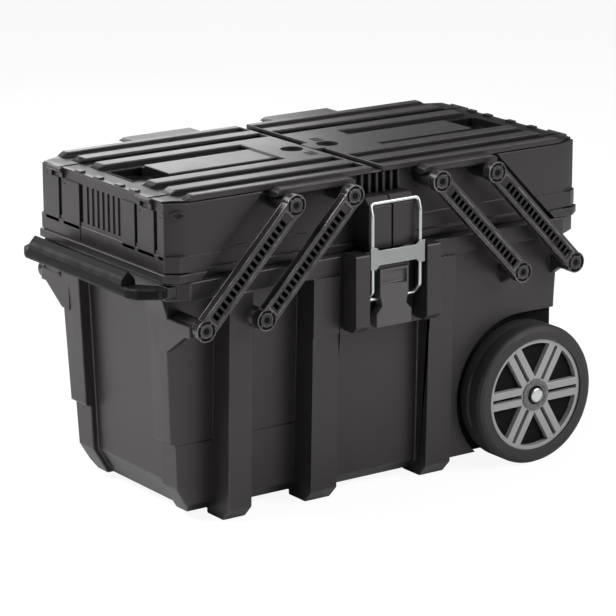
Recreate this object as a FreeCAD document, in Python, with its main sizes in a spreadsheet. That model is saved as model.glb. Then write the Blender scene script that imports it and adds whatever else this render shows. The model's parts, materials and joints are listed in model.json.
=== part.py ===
import FreeCAD, Part
import math
import os
import Sketcher

# Driving dimensions in millimetres. X runs along the length from the seam between the trays,
# Y runs from the latch side to the rear, and Z is the height above the floor.
dimensions = {
    # bin
    "bin_left": 275.0,
    "bin_right": 272.0,
    "bin_half_depth": 121.0,
    "wall_lean": 10.0,
    "bin_wall": 3.5,
    "floor_height": 8.0,
    "floor_thickness": 4.0,
    "left_bevel_run": 20.0,
    "left_bevel_rise": 34.0,
    "side_bevel_run": 9.0,
    "side_bevel_rise": 12.0,
    "rise_start": 128.0,
    "rise_end": 192.0,
    "raised_floor": 101.0,
    "rim_bottom": 281.0,
    "rim_height": 22.4,
    "rim_end": 300.0,
    "rim_half_depth": 152.0,
    "rim_corner_run": 25.0,
    "rim_corner_depth": 14.0,
    "overcut": 1.0,
    # legs, fender panels and posts on the bin
    "leg_face": 154.0,
    "leg_lean": 7.0,
    "leg_wall": 4.0,
    "foot_setback": 14.0,
    "foot_rise": 15.0,
    "inner_leg": 86.0,
    "inner_leg_width": 38.0,
    "outer_leg": 206.5,
    "outer_leg_width": 33.0,
    "bay_depth": 22.0,
    "leg_head_bottom": 209.0,
    "leg_head_proud": 1.4,
    "fender_depth": 22.0,
    "fender_bottom": 18.5,
    "post_step": 15.0,
    "post_centre": 100.0,
    "post_width": 44.0,
    "post_bottom": 97.0,
    "post_foot": 8.0,
    "step_line": 1.5,
    "latch_panel_half": 68.0,
    "latch_panel_face": 152.0,
    "latch_panel_bottom": 206.0,
    # swing arms and their pivots
    "lower_outer_pivot": 272.7,
    "pivot_spacing": 83.4,
    "lower_pivot_height": 251.5,
    "arm_shift": 125.2,
    "arm_rise": 130.4,
    "arm_face": 181.0,
    "arm_thickness": 12.0,
    "arm_half_width": 11.5,
    "arm_hub_radius": 13.2,
    "ladder_half_width": 4.6,
    "ladder_pocket": 5.4,
    "ladder_pitch": 8.4,
    "ladder_depth": 8.0,
    "rail_width": 4.0,
    "rail_height": 1.4,
    "pivot_pin_radius": 4.0,
    "pivot_head_radius": 6.2,
    "pivot_head_depth": 3.0,
    "hub_ring_gap": 2.1,
    "boss_radius": 11.0,
    "bracket_thickness": 10.0,
    "bracket_top_rise": 5.0,
    "bracket_drop": 35.0,
    "bracket_neck": 10.0,
    "pin_clearance": 0.06,
    "open_pivot_clearance": 0.3,
    "running_gap": 0.4,
    # trays
    "tray_end": 301.0,
    "tray_seat_gap": 0.4,
    "tray_top": 396.0,
    "tray_core_half": 134.0,
    "tray_wall": 3.5,
    "tray_floor": 3.5,
    "panel_face": 149.0,
    "lip_proud": 3.5,
    "lip_height": 10.0,
    "band_proud": 1.5,
    "band_height": 22.5,
    "seam_half_gap": 1.0,
    "corner_notch": 26.0,
    "band_corner_notch": 15.0,
    "panel_clear": 38.0,
    "corner_depth": 12.0,
    "band_groove": 2.0,
    "canopy_thickness": 4.0,
    "canopy_drop": 8.0,
    "canopy_front": 163.0,
    "canopy_rear": 188.0,
    "canopy_overhang": 14.0,
    "canopy_gap": 0.6,
    "slot_count": 7.0,
    "slot_pitch": 11.7,
    "slot_width": 5.0,
    "slot_bottom": 339.0,
    "slot_height": 46.0,
    "slot_centre": 5.0,
    "end_groove_depth": 2.5,
    "rear_groove_place": 94.5,
    "split_place": 46.4,
    "split_width": 8.4,
    "split_line_width": 2.5,
    "front_groove_place": 75.9,
    "front_edge_groove_place": 118.9,
    "front_groove_width": 7.0,
    "seam_rib_pitch": 11.0,
    "seam_rib_width": 4.0,
    "seam_rib_proud": 9.0,
    "seam_rib_height": 25.0,
    # lids
    "lid_half_depth": 146.0,
    "lid_thickness": 7.6,
    "lid_bevel_run": 9.5,
    "lid_end_flat": 25.0,
    "lid_corner_run": 30.0,
    "lid_corner_depth": 14.0,
    "lid_border": 2.0,
    "groove_depth": 5.6,
    "edge_width": 11.5,
    "groove_width": 23.2,
    "rib_width": 19.2,
    "plate_half": 28.5,
    "plate_groove_width": 20.6,
    "plate_groove_end": 72.0,
    "plate_sink": 2.0,
    "pocket_outer": 273.0,
    "pocket_inner": 224.0,
    "pocket_half": 34.0,
    "pocket_depth": 10.0,
    "pocket_wall": 2.0,
    "lid_step": 14.0,
    "left_dish_place": 35.0,
    "right_dish_place": 18.0,
    "dish_front": 8.0,
    "dish_radius": 14.0,
    "dish_depth": 4.0,
    "lid_flange": 2.0,
    "hinge_offset": 3.6,
    "hinge_knuckle_radius": 3.2,
    "hinge_pin_radius": 1.5,
    "hinge_place": 100.0,
    "hinge_knuckle_length": 16.0,
    "hinge_lug_drop": 9.6,
    "hinge_bore_reach": 19.2,
    # catch and latch
    "catch_half_width": 34.0,
    "catch_face": 167.5,
    "catch_bottom": 309.0,
    "catch_step": 361.0,
    "catch_top": 371.0,
    "catch_slope": 10.0,
    "catch_wall": 3.0,
    "wire_radius": 2.4,
    "bail_half_width": 35.0,
    "bail_face": 175.0,
    "bail_top": 366.0,
    "bail_kick": 12.6,
    "bail_lean": 14.4,
    "bail_corner_radius": 5.0,
    "bail_gap": 0.6,
    "bail_pivot_height": 247.0,
    "bail_pivot_place": 163.0,
    "bail_end": 12.0,
    "bail_plate_bottom": 292.0,
    "bail_plate_height": 18.0,
    "bail_tab_height": 27.0,
    "bail_tab_width": 8.0,
    "bail_plate_neck": 5.0,
    "bail_plate_thickness": 1.6,
    "lever_pivot_height": 284.5,
    "lever_pivot_place": 161.5,
    "lever_barrel_radius": 6.0,
    "lever_half_width": 21.0,
    "lever_grip_half_width": 26.0,
    "lever_bottom": 213.0,
    "lever_grip_height": 26.0,
    "lever_thickness": 13.0,
    "lever_face": 172.0,
    "lever_recess_depth": 4.0,
    "lever_recess_height": 16.0,
    "lever_waist": 3.0,
    "lever_shell": 5.0,
    "lever_pivot_land": 8.0,
    "lever_pin_radius": 2.5,
    "bracket_plate_thickness": 2.0,
    "bracket_ear_thickness": 4.0,
    # pull handle
    "handle_reach": 341.0,
    "grip_thickness": 20.0,
    "grip_bottom": 289.0,
    "grip_height": 26.0,
    "grip_half_length": 106.0,
    "grip_shoulder": 122.0,
    "grip_round": 9.0,
    "tube_place": 136.0,
    "tube_width": 15.0,
    "tube_height": 13.0,
    "tube_centre": 292.4,
    "tube_end": 215.0,
    "tube_wall": 1.6,
    "tube_gap": 0.3,
    "channel_end": 232.0,
    # wheels and axle
    "wheel_place": 215.7,
    "wheel_radius": 89.0,
    "wheel_face": 178.0,
    "tyre_width": 46.0,
    "tyre_shoulder": 7.0,
    "tyre_groove": 2.0,
    "rim_radius": 71.0,
    "rim_ring": 5.0,
    "rim_recess": 3.0,
    "hub_radius": 21.0,
    "hub_tube_radius": 12.0,
    "spoke_pairs": 6.0,
    "spoke_width": 9.0,
    "spoke_gap": 5.0,
    "spoke_depth": 9.0,
    "web_thickness": 3.0,
    "axle_radius": 6.0,
    "axle_clearance": 0.08,
    "axle_block_half": 16.0,
    "axle_block_drop": 22.0,
    "axle_block_width": 24.0,
    "cap_radius": 9.0,
    "cap_top_radius": 6.3,
    "cap_height": 2.6,
    "well_gap": 9.0,
}

doc = FreeCAD.newDocument("jobsite_storage_box")
sheet = doc.addObject("Spreadsheet::Sheet", "sizes")
for row, (name, number) in enumerate(dimensions.items(), start=1):
    sheet.set(f"A{row}", name)
    sheet.set(f"B{row}", str(number))
    sheet.setAlias(f"B{row}", name)
doc.recompute()


class Size:
    """A length that knows both its number and the formula that binds it to the sheet."""

    def __init__(self, value, formula):
        self.value = float(value)
        self.formula = formula

    def __add__(self, other):
        other = as_size(other)
        return Size(self.value + other.value, f"({self.formula} + {other.formula})")

    def __sub__(self, other):
        other = as_size(other)
        return Size(self.value - other.value, f"({self.formula} - {other.formula})")

    def __mul__(self, other):
        other = as_size(other)
        return Size(self.value * other.value, f"({self.formula} * {other.formula})")

    def __truediv__(self, other):
        other = as_size(other)
        return Size(self.value / other.value, f"({self.formula} / {other.formula})")

    def __neg__(self):
        return Size(-self.value, f"(0 - {self.formula})")

    __radd__ = __add__
    __rmul__ = __mul__

    def __rsub__(self, other):
        return as_size(other) - self


def as_size(number):
    return number if isinstance(number, Size) else Size(number, repr(float(number)))


class Named:
    """Every driving dimension as an attribute."""


d = Named()
for name in dimensions:
    setattr(d, name, Size(sheet.get(name), "sizes." + name))

# The origin is the middle of the overall footprint, so the seam stands off it by these amounts.
right_reach = d.tray_end + d.hinge_offset + d.hinge_knuckle_radius
seam_x = (d.handle_reach - right_reach) / 2
seam_y = (d.arm_face - d.canopy_rear) / 2


def bind(item, path, size):
    item.setExpression(path, as_size(size).formula)


def place(item, x, y, z, rotation=None):
    position = [as_size(x) + seam_x, as_size(y) + seam_y, as_size(z)]
    vector = FreeCAD.Vector(*(axis.value for axis in position))
    item.Placement = FreeCAD.Placement(vector, rotation or FreeCAD.Rotation())
    for letter, axis in zip("xyz", position):
        bind(item, f"Placement.Base.{letter}", axis)


turned_to = {
    "XY": FreeCAD.Rotation(),
    "XZ": FreeCAD.Rotation(FreeCAD.Vector(1, 0, 0), 90),
    "YZ": FreeCAD.Rotation(FreeCAD.Vector(1, 1, 1), 120),
}
counter = {}


def fresh(name):
    counter[name] = counter.get(name, 0) + 1
    return f"{name}_{counter[name]}"


def span(first, second):
    """Two places in rising order."""
    return sorted([as_size(first), as_size(second)], key=lambda size: size.value)


def box(low, high):
    item = doc.addObject("Part::Box", fresh("block"))
    for path, a, b in zip(("Length", "Width", "Height"), low, high):
        bind(item, path, as_size(b) - a)
    place(item, *low)
    return item


def rod(direction, centre, start, end, radius):
    """A cylinder along X, Y or Z; centre gives the other two coordinates in axis order."""
    item = doc.addObject("Part::Cylinder", fresh("rod"))
    bind(item, "Radius", radius)
    bind(item, "Height", as_size(end) - start)
    first, second = centre
    if direction == "X":
        place(item, start, first, second, FreeCAD.Rotation(FreeCAD.Vector(0, 1, 0), 90))
    elif direction == "Y":
        place(item, first, start, second, FreeCAD.Rotation(FreeCAD.Vector(1, 0, 0), -90))
    else:
        place(item, first, second, start)
    return item


def outline(sketch, corners):
    """A closed polygon whose corners are bound to the sheet."""
    corners = [(as_size(u), as_size(v)) for u, v in corners]
    count = len(corners)
    for here, there in zip(corners, corners[1:] + corners[:1]):
        sketch.addGeometry(Part.LineSegment(
            FreeCAD.Vector(here[0].value, here[1].value, 0),
            FreeCAD.Vector(there[0].value, there[1].value, 0)))
    first = sketch.GeometryCount - count
    for step in range(count):
        sketch.addConstraint(Sketcher.Constraint(
            "Coincident", first + step, 2, first + (step + 1) % count, 1))
    for step, corner in enumerate(corners):
        for kind, size in zip(("DistanceX", "DistanceY"), corner):
            index = sketch.addConstraint(Sketcher.Constraint(kind, -1, 1, first + step, 1, size.value))
            sketch.setExpression(f"Constraints[{index}]", size.formula)


def ring(sketch, centre, radius):
    """A circle whose centre and radius are bound to the sheet."""
    u, v, r = as_size(centre[0]), as_size(centre[1]), as_size(radius)
    middle = FreeCAD.Vector(u.value, v.value, 0)
    index = sketch.addGeometry(Part.Circle(middle, FreeCAD.Vector(0, 0, 1), r.value))
    for kind, size in (("DistanceX", u), ("DistanceY", v)):
        number = sketch.addConstraint(Sketcher.Constraint(kind, -1, 1, index, 3, size.value))
        sketch.setExpression(f"Constraints[{number}]", size.formula)
    number = sketch.addConstraint(Sketcher.Constraint("Radius", index, r.value))
    sketch.setExpression(f"Constraints[{number}]", r.formula)


def prism(plane, corners, start, end):
    """A polygon drawn in a plane and pushed from start to end along the plane's third axis."""
    sketch = doc.addObject("Sketcher::SketchObject", fresh("outline"))
    outline(sketch, corners)
    third = {"XY": 2, "XZ": 1, "YZ": 0}[plane]
    position = [0, 0, 0]
    position[third] = start
    place(sketch, *position, turned_to[plane])
    item = doc.addObject("Part::Extrusion", fresh("prism"))
    item.Base = sketch
    item.DirMode = "Custom"
    item.Dir = FreeCAD.Vector(*(1 if axis == third else 0 for axis in range(3)))
    item.Solid = True
    bind(item, "LengthFwd", as_size(end) - start)
    return item


def fuse(items):
    joined = doc.addObject("Part::MultiFuse", fresh("joined"))
    joined.Shapes = items
    joined.Refine = True
    return joined


def common(first, second):
    shared = doc.addObject("Part::Common", fresh("shared"))
    shared.Base = first
    shared.Tool = second
    return shared


def cut(base, tools):
    opened = doc.addObject("Part::Cut", fresh("opened"))
    opened.Base = base
    opened.Tool = tools[0] if len(tools) == 1 else fuse(tools)
    opened.Refine = True
    return opened


nodes = []


def node(item, label):
    item.Label = label
    nodes.append(item)
    return item


def group(items, label):
    together = doc.addObject("Part::Compound", fresh("group"))
    together.Links = items
    return node(together, label)


def new_body(label):
    body = doc.addObject("PartDesign::Body", label)
    return node(body, label)


def new_sketch(body, name, role):
    sketch = body.newObject("Sketcher::SketchObject", fresh(name))
    plane = next(item for item in body.Origin.OriginFeatures if item.Role == role)
    sketch.AttachmentSupport = (plane, [""])
    sketch.MapMode = "FlatFace"
    return sketch


def feature(body, kind, name, sketch, **settings):
    made = body.newObject(f"PartDesign::{kind}", fresh(name))
    made.Profile = sketch
    for key, setting in settings.items():
        if isinstance(setting, Size):
            bind(made, key, setting)
        else:
            setattr(made, key, setting)
    return made


# Derived places shared by more than one piece
rim_top = d.rim_bottom + d.rim_height
tray_bottom = rim_top + d.tray_seat_gap
lip_top = tray_bottom + d.lip_height
band_top = lip_top + d.band_height
lower_inner_pivot = d.lower_outer_pivot - d.pivot_spacing
upper_outer_pivot = d.lower_outer_pivot - d.arm_shift
upper_inner_pivot = upper_outer_pivot - d.pivot_spacing
upper_pivot_height = d.lower_pivot_height + d.arm_rise
arm_back = d.arm_face - d.arm_thickness
lid_bottom = d.tray_top + d.running_gap
lid_top = lid_bottom + d.lid_thickness
bin_floor_top = d.floor_height + d.floor_thickness
tube_bottom = d.tube_centre - d.tube_height / 2
tube_top = d.tube_centre + d.tube_height / 2
wheel_height = d.wheel_radius
pin_bore = d.pivot_pin_radius + d.pin_clearance
both = (-1, 1)


# Bin: drafted walls, bevelled floor edges and a floor that rises over the axle
def bin_end_profile(inset, floor, top):
    left = d.bin_left - inset
    right = d.bin_right - inset
    return [
        (-left, top),
        (-(left - d.wall_lean), d.left_bevel_rise + floor),
        (-(left - d.wall_lean - d.left_bevel_run), floor),
        (d.rise_start - inset, floor),
        (d.rise_end - inset, d.raised_floor - d.floor_height + floor),
        (right - d.wall_lean / 2, d.raised_floor - d.floor_height + floor),
        (right, top),
    ]


def bin_side_profile(inset, floor, top):
    half = d.bin_half_depth - inset
    foot = half - d.wall_lean
    return [
        (-half, top),
        (-foot, d.side_bevel_rise + floor),
        (-(foot - d.side_bevel_run), floor),
        (foot - d.side_bevel_run, floor),
        (foot, d.side_bevel_rise + floor),
        (half, top),
    ]


def bin_block(inset, floor, top):
    ends = prism("XZ", bin_end_profile(inset, floor, top), -d.bin_half_depth, d.bin_half_depth)
    sides = prism("YZ", bin_side_profile(inset, floor, top), -d.bin_left, d.bin_right)
    return common(ends, sides)


def leg_profile(sign, inset, bottom, top):
    """Side view of a leg: a leaning face that tucks in to the foot."""
    face = d.leg_face - inset
    foot = face - d.leg_lean
    back = d.bin_half_depth - d.wall_lean - d.side_bevel_run - d.bin_wall
    return [
        (back * sign, bottom),
        ((foot - d.foot_setback) * sign, bottom),
        (foot * sign, d.foot_rise + bottom),
        (face * sign, top),
        (back * sign, top),
    ]


def leg(sign, centre, width):
    outer = prism("YZ", leg_profile(sign, 0, as_size(0), d.rim_bottom),
                  centre - width / 2, centre + width / 2)
    inner = prism("YZ", leg_profile(sign, d.leg_wall, bin_floor_top + d.foot_rise, d.rim_bottom - d.leg_wall),
                  centre - width / 2 + d.leg_wall, centre + width / 2 - d.leg_wall)
    return outer, inner


def wall_place(height):
    """Distance of the leaning front wall from the middle plane at a given height."""
    low = d.side_bevel_rise + d.floor_height
    high = d.rim_bottom + d.leg_wall
    share = (height - low) / (high - low)
    return d.bin_half_depth - d.wall_lean + d.wall_lean * share


def end_place(height):
    """Distance of the leaning handle-end wall from the seam at a given height."""
    low = d.left_bevel_rise + d.floor_height
    high = d.rim_bottom + d.leg_wall
    share = (height - low) / (high - low)
    return d.bin_left - d.wall_lean + d.wall_lean * share


def make_bin():
    solids = [bin_block(as_size(0), d.floor_height, d.rim_bottom + d.leg_wall)]
    hollows = []
    legs = [(-d.outer_leg, d.outer_leg_width), (-d.inner_leg, d.inner_leg_width),
            (d.inner_leg, d.inner_leg_width)]
    fender_left = d.inner_leg + d.inner_leg_width / 2
    fender_face = d.bin_half_depth + d.fender_depth
    inside = d.bin_half_depth - d.wall_lean - d.side_bevel_run
    for sign in both:
        for centre, width in legs:
            outer, inner = leg(sign, centre, width)
            solids.append(outer)
            hollows.append(inner)
        # fender panel over each wheel, open behind so that the tyre runs inside it
        panel = [(fender_left, d.fender_bottom), (d.wheel_place, d.fender_bottom),
                 (d.wheel_place, d.raised_floor), (d.bin_right - d.wall_lean / 2, d.raised_floor),
                 (d.bin_right, d.rim_bottom),
                 (fender_left, d.rim_bottom)]
        skirt = wall_place(d.floor_height + d.side_bevel_rise) - d.bin_wall
        solids.append(prism("XZ", panel, *span(skirt * sign, fender_face * sign)))
        room = [((fender_face - d.leg_wall) * sign, d.floor_height - d.overcut),
                ((fender_face - d.leg_wall) * sign, d.rim_bottom - d.leg_wall),
                (wall_place(d.rim_bottom) * sign, d.rim_bottom - d.leg_wall),
                (wall_place(d.floor_height + d.side_bevel_rise) * sign, d.floor_height + d.side_bevel_rise),
                (wall_place(d.floor_height + d.side_bevel_rise) * sign, d.floor_height - d.overcut)]
        hollows.append(prism("YZ", room, fender_left + d.leg_wall, d.bin_right - d.leg_wall))
        # lower pivot brackets stand out from the wall behind each arm
        tip = (arm_back - d.running_gap) * sign
        bracket_top = d.lower_pivot_height + d.bracket_top_rise
        gusset = [
            (inside * sign, d.lower_pivot_height - d.bracket_drop),
            (d.bin_half_depth * sign, d.lower_pivot_height - d.bracket_drop),
            ((arm_back - d.boss_radius) * sign, d.lower_pivot_height - d.bracket_neck),
            (tip, d.lower_pivot_height - d.bracket_neck),
            (tip, bracket_top),
            (inside * sign, bracket_top),
        ]
        half = d.bracket_thickness / 2
        post_face = end_place(d.lower_pivot_height) + d.post_step
        webs = [-(post_face - half), -lower_inner_pivot, lower_inner_pivot, d.bin_right - half]
        pivots = [-d.lower_outer_pivot, -lower_inner_pivot, lower_inner_pivot, d.lower_outer_pivot]
        for web, pivot in zip(webs, pivots):
            solids.append(prism("YZ", gusset, web - half, web + half))
            solids.append(rod("Y", (pivot, d.lower_pivot_height), *span(d.bin_half_depth * sign, tip),
                              d.boss_radius))
        # fine step line low on the front and rear walls
        line = wall_place(d.post_bottom)
        low = d.post_bottom - d.step_line
        clear = line + d.step_line
        notch = [(clear * sign, d.post_bottom), ((line - d.step_line) * sign, d.post_bottom),
                 ((line - d.step_line) * sign, low), (clear * sign, low)]
        hollows.append(prism("YZ", notch, -(d.bin_left + d.overcut), -(d.outer_leg + d.outer_leg_width / 2)))
        hollows.append(prism("YZ", notch, -(d.outer_leg - d.outer_leg_width / 2),
                             -(d.inner_leg + d.inner_leg_width / 2)))
    # posts at the corners of the handle end, flared out under the rim and stepped near the foot
    for sign in both:
        low = d.post_centre * sign - d.post_width / 2
        back = -(d.bin_left - d.wall_lean - d.left_bevel_run)
        waist = end_place(d.post_bottom)
        foot = end_place(d.left_bevel_rise + d.floor_height) + d.post_foot
        flare = d.rim_bottom - d.rim_height
        post = [(back, d.floor_height), (-(foot - d.left_bevel_run), d.floor_height),
                (-foot, d.left_bevel_rise + d.floor_height), (-(waist + d.post_foot), d.post_bottom),
                (-(waist + d.post_step), d.post_bottom + d.post_foot / 3),
                (-(end_place(flare) + d.post_step), flare),
                (-(d.rim_end - d.leg_wall), d.rim_bottom), (back, d.rim_bottom)]
        lean = prism("YZ", bin_side_profile(as_size(0), d.floor_height, d.rim_bottom + d.leg_wall),
                     -d.rim_end, as_size(0))
        solids.append(common(prism("XZ", post, low, low + d.post_width), lean))
    # front wall between the middle legs stands forward of the rest, hollow to the inside
    bay_face = d.leg_face - d.bay_depth
    bay_half = d.inner_leg - d.inner_leg_width / 2
    bay_back = inside - d.leg_wall
    for inset, floor, top, pieces in ((as_size(0), d.floor_height, d.rim_bottom, solids),
                                      (d.bin_wall, bin_floor_top, d.rim_bottom - d.leg_wall, hollows)):
        front = bay_face - inset
        foot = front - d.leg_lean
        bay = [(-bay_back, floor), (-(foot - d.side_bevel_run), floor), (-foot, floor + d.side_bevel_rise),
               (-front, top), (-bay_back, top)]
        bay_end = bay_half + d.leg_wall / 2 - inset
        pieces.append(prism("YZ", bay, -bay_end, bay_end))
    # heads of the middle legs, one thin step proud of the leg below
    rise = (d.leg_head_bottom - d.foot_rise) / (d.rim_bottom - d.foot_rise)
    step_place = d.leg_face - d.leg_lean + d.leg_lean * rise
    head = [(-(step_place - d.leg_wall / 2), d.leg_head_bottom),
            (-(step_place + d.leg_head_proud), d.leg_head_bottom),
            (-(d.leg_face + d.leg_head_proud), d.rim_bottom),
            (-(d.leg_face - d.leg_wall / 2), d.rim_bottom)]
    # panel behind the latch, joining the two middle legs
    solids.append(box((-d.latch_panel_half, -d.latch_panel_face, d.latch_panel_bottom),
                      (d.latch_panel_half, -(d.bin_half_depth - d.bin_wall), d.rim_bottom)))
    panel_back = d.latch_panel_face - d.leg_wall
    hollows.append(box((-(bay_half - d.leg_wall), -panel_back, d.latch_panel_bottom + d.leg_wall),
                       (bay_half - d.leg_wall, -inside, d.rim_bottom - d.leg_wall)))
    for side in both:
        leg_sides = span(bay_half * side, (bay_half + d.inner_leg_width) * side)
        solids.append(prism("YZ", head, leg_sides[0], leg_sides[1]))
    # rim round the mouth with chamfered corners and a gutter across each end
    edge = d.rim_half_depth - d.rim_corner_depth
    length = d.rim_end - d.rim_corner_run
    solids.append(prism("XY", [(-d.rim_end, -edge), (-length, -d.rim_half_depth), (length, -d.rim_half_depth),
                               (d.rim_end, -edge), (d.rim_end, edge), (length, d.rim_half_depth),
                               (-length, d.rim_half_depth), (-d.rim_end, edge)], d.rim_bottom, rim_top))
    skin = d.leg_wall
    mouth = d.bin_half_depth - d.bin_wall
    hollows.append(box((-(d.rim_end - skin), -mouth, d.rim_bottom + skin),
                       (-(d.bin_left + skin), mouth, rim_top + d.overcut)))
    hollows.append(box((d.bin_right + skin, -mouth, d.rim_bottom + skin),
                       (d.rim_end - skin, mouth, rim_top + d.overcut)))
    # axle blocks under the raised floor
    block_end = d.bin_half_depth - d.wall_lean
    for sign in both:
        y0, y1 = span(block_end * sign, (block_end - d.axle_block_width) * sign)
        solids.append(box((d.wheel_place - d.axle_block_half, y0, wheel_height - d.axle_block_drop / 2),
                          (d.wheel_place + d.axle_block_half, y1, d.raised_floor + d.floor_thickness / 2)))
    outside = fuse(solids)

    hollows.append(bin_block(d.bin_wall, bin_floor_top, rim_top + d.bin_wall))
    well = d.wheel_radius + d.well_gap
    for sign in both:
        # wheel arch cut into the fender, open towards the wheel end
        y0, y1 = span((d.wheel_face - d.tyre_width - d.well_gap) * sign, d.leg_face * sign)
        hollows.append(rod("Y", (d.wheel_place, wheel_height), y0, y1, well))
        hollows.append(box((d.wheel_place, y0, wheel_height),
                           (d.bin_right + d.overcut, y1, wheel_height + well)))
        # slide channel for each handle tube
        middle = d.tube_place * sign
        hollows.append(box((-d.rim_end - d.overcut, middle - d.tube_width / 2 - d.tube_gap,
                            tube_bottom - d.tube_gap),
                           (d.channel_end, middle + d.tube_width / 2 + d.tube_gap, tube_top + d.tube_gap)))
        for side in both:
            for pivot in (d.lower_outer_pivot, lower_inner_pivot):
                hollows.append(rod("Y", (pivot * side, d.lower_pivot_height),
                                   *span(d.bin_half_depth * sign, d.arm_face * sign), d.pivot_pin_radius))
    hollows.append(rod("Y", (d.wheel_place, wheel_height), -d.bin_half_depth, d.bin_half_depth,
                       d.axle_radius))
    node(cut(outside, hollows), "bin_shell")


# Swing arms: a ladder of pockets between two rails, with a ringed hub at each end
arm_length_value = math.hypot(d.arm_shift.value, d.arm_rise.value)
arm_length = Size(arm_length_value, f"sqrt({d.arm_shift.formula} ^ 2 + {d.arm_rise.formula} ^ 2)")
arm_lean = math.degrees(math.atan2(d.arm_shift.value, d.arm_rise.value))


def make_arm(label, pivot, side, front, upper_bore):
    body = new_body(label)
    shank = new_sketch(body, "shank", "XZ_Plane")
    half = d.arm_half_width
    outline(shank, [(-half, 0), (half, 0), (half, arm_length), (-half, arm_length)])
    feature(body, "Pad", "shank_pad", shank, Length=d.arm_thickness)
    hubs = new_sketch(body, "hubs", "XZ_Plane")
    ring(hubs, (0, 0), d.arm_hub_radius)
    ring(hubs, (0, arm_length), d.arm_hub_radius)
    feature(body, "Pad", "hub_pad", hubs, Length=d.arm_thickness)
    doc.recompute()
    bores = new_sketch(body, "bores", "XZ_Plane")
    ring(bores, (0, 0), pin_bore)
    ring(bores, (0, arm_length), upper_bore)
    feature(body, "Pocket", "bore_cut", bores, Length=d.arm_thickness, Reversed=True)

    def sunk(name, draw, depth):
        sketch = new_sketch(body, name, "XZ_Plane")
        bind(sketch, "AttachmentOffset.Base.z", d.arm_thickness)
        draw(sketch)
        return feature(body, "Pocket", name + "_cut", sketch, Length=depth)

    def head_seats(sketch):
        for height in (0, arm_length):
            ring(sketch, (0, height), d.pivot_head_radius + d.running_gap)

    def ring_grooves(sketch):
        for height in (0, arm_length):
            ring(sketch, (0, height), d.arm_hub_radius - d.rail_height)
            ring(sketch, (0, height), d.pivot_head_radius + d.hub_ring_gap)

    def rail_channel(sketch):
        inner = half - d.rail_width
        outline(sketch, [(-inner, d.arm_hub_radius), (inner, d.arm_hub_radius),
                         (inner, arm_length - d.arm_hub_radius), (-inner, arm_length - d.arm_hub_radius)])

    def first_pocket(sketch):
        low = d.arm_hub_radius + d.rail_width
        width = d.ladder_half_width
        outline(sketch, [(-width, low), (width, low), (width, low + d.ladder_pocket),
                         (-width, low + d.ladder_pocket)])

    sunk("head_seat", head_seats, d.pivot_head_depth + d.running_gap)
    sunk("ring_groove", ring_grooves, d.rail_height)
    sunk("rail_channel", rail_channel, d.rail_height)
    pocket = sunk("ladder", first_pocket, d.ladder_depth)
    doc.recompute()
    rungs = body.newObject("PartDesign::LinearPattern", fresh("ladder_row"))
    rungs.Originals = [pocket]
    rungs.Direction = (pocket.Profile[0], ["V_Axis"])
    room = arm_length_value - 2 * (d.arm_hub_radius.value + d.rail_width.value) - d.ladder_pocket.value
    gaps = int(room / d.ladder_pitch.value)
    rungs.Occurrences = gaps + 1
    bind(rungs, "Length", d.ladder_pitch * gaps)
    body.Tip = rungs
    lean = FreeCAD.Rotation(FreeCAD.Vector(0, 1, 0), -arm_lean * side)
    turn = FreeCAD.Rotation() if front < 0 else FreeCAD.Rotation(FreeCAD.Vector(0, 0, 1), 180)
    place(body, pivot * side, arm_back * front, d.lower_pivot_height, lean.multiply(turn))


def make_arms():
    names = {-1: "left", 1: "right"}
    faces = {-1: "front", 1: "rear"}
    for side in both:
        for front in both:
            make_arm(f"{names[side]}_outer_{faces[front]}_arm", d.lower_outer_pivot, side, front, pin_bore)
            make_arm(f"{names[side]}_inner_{faces[front]}_arm", lower_inner_pivot, side, front,
                     d.pivot_pin_radius + d.open_pivot_clearance)


def pivot_pin(x, height, root, front):
    """A headed pin whose shank is held in a boss and whose head sits in the hub of an arm."""
    head_back = d.arm_face - d.pivot_head_depth
    reach = span(root * front, head_back * front)
    head = span(head_back * front, (d.arm_face - d.running_gap) * front)
    shank = rod("Y", (x, height), reach[0], reach[1], d.pivot_pin_radius)
    return fuse([shank, rod("Y", (x, height), head[0], head[1], d.pivot_head_radius)])


def make_lower_pins():
    pins = []
    for side in both:
        for pivot in (d.lower_outer_pivot, lower_inner_pivot):
            for front in both:
                pins.append(pivot_pin(pivot * side, d.lower_pivot_height, d.bin_half_depth, front))
    group(pins, "lower_pivot_pins")


# Trays: a core box with raised outer panels, a recess for the arms and canopies over the pivots
def panel_edge(height):
    """Distance from the seam to the slanted edge of the outer panel, which runs beside the outer arm."""
    slope = d.arm_shift / d.arm_rise
    return d.lower_outer_pivot - (height - d.lower_pivot_height) * slope + d.panel_clear


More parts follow.
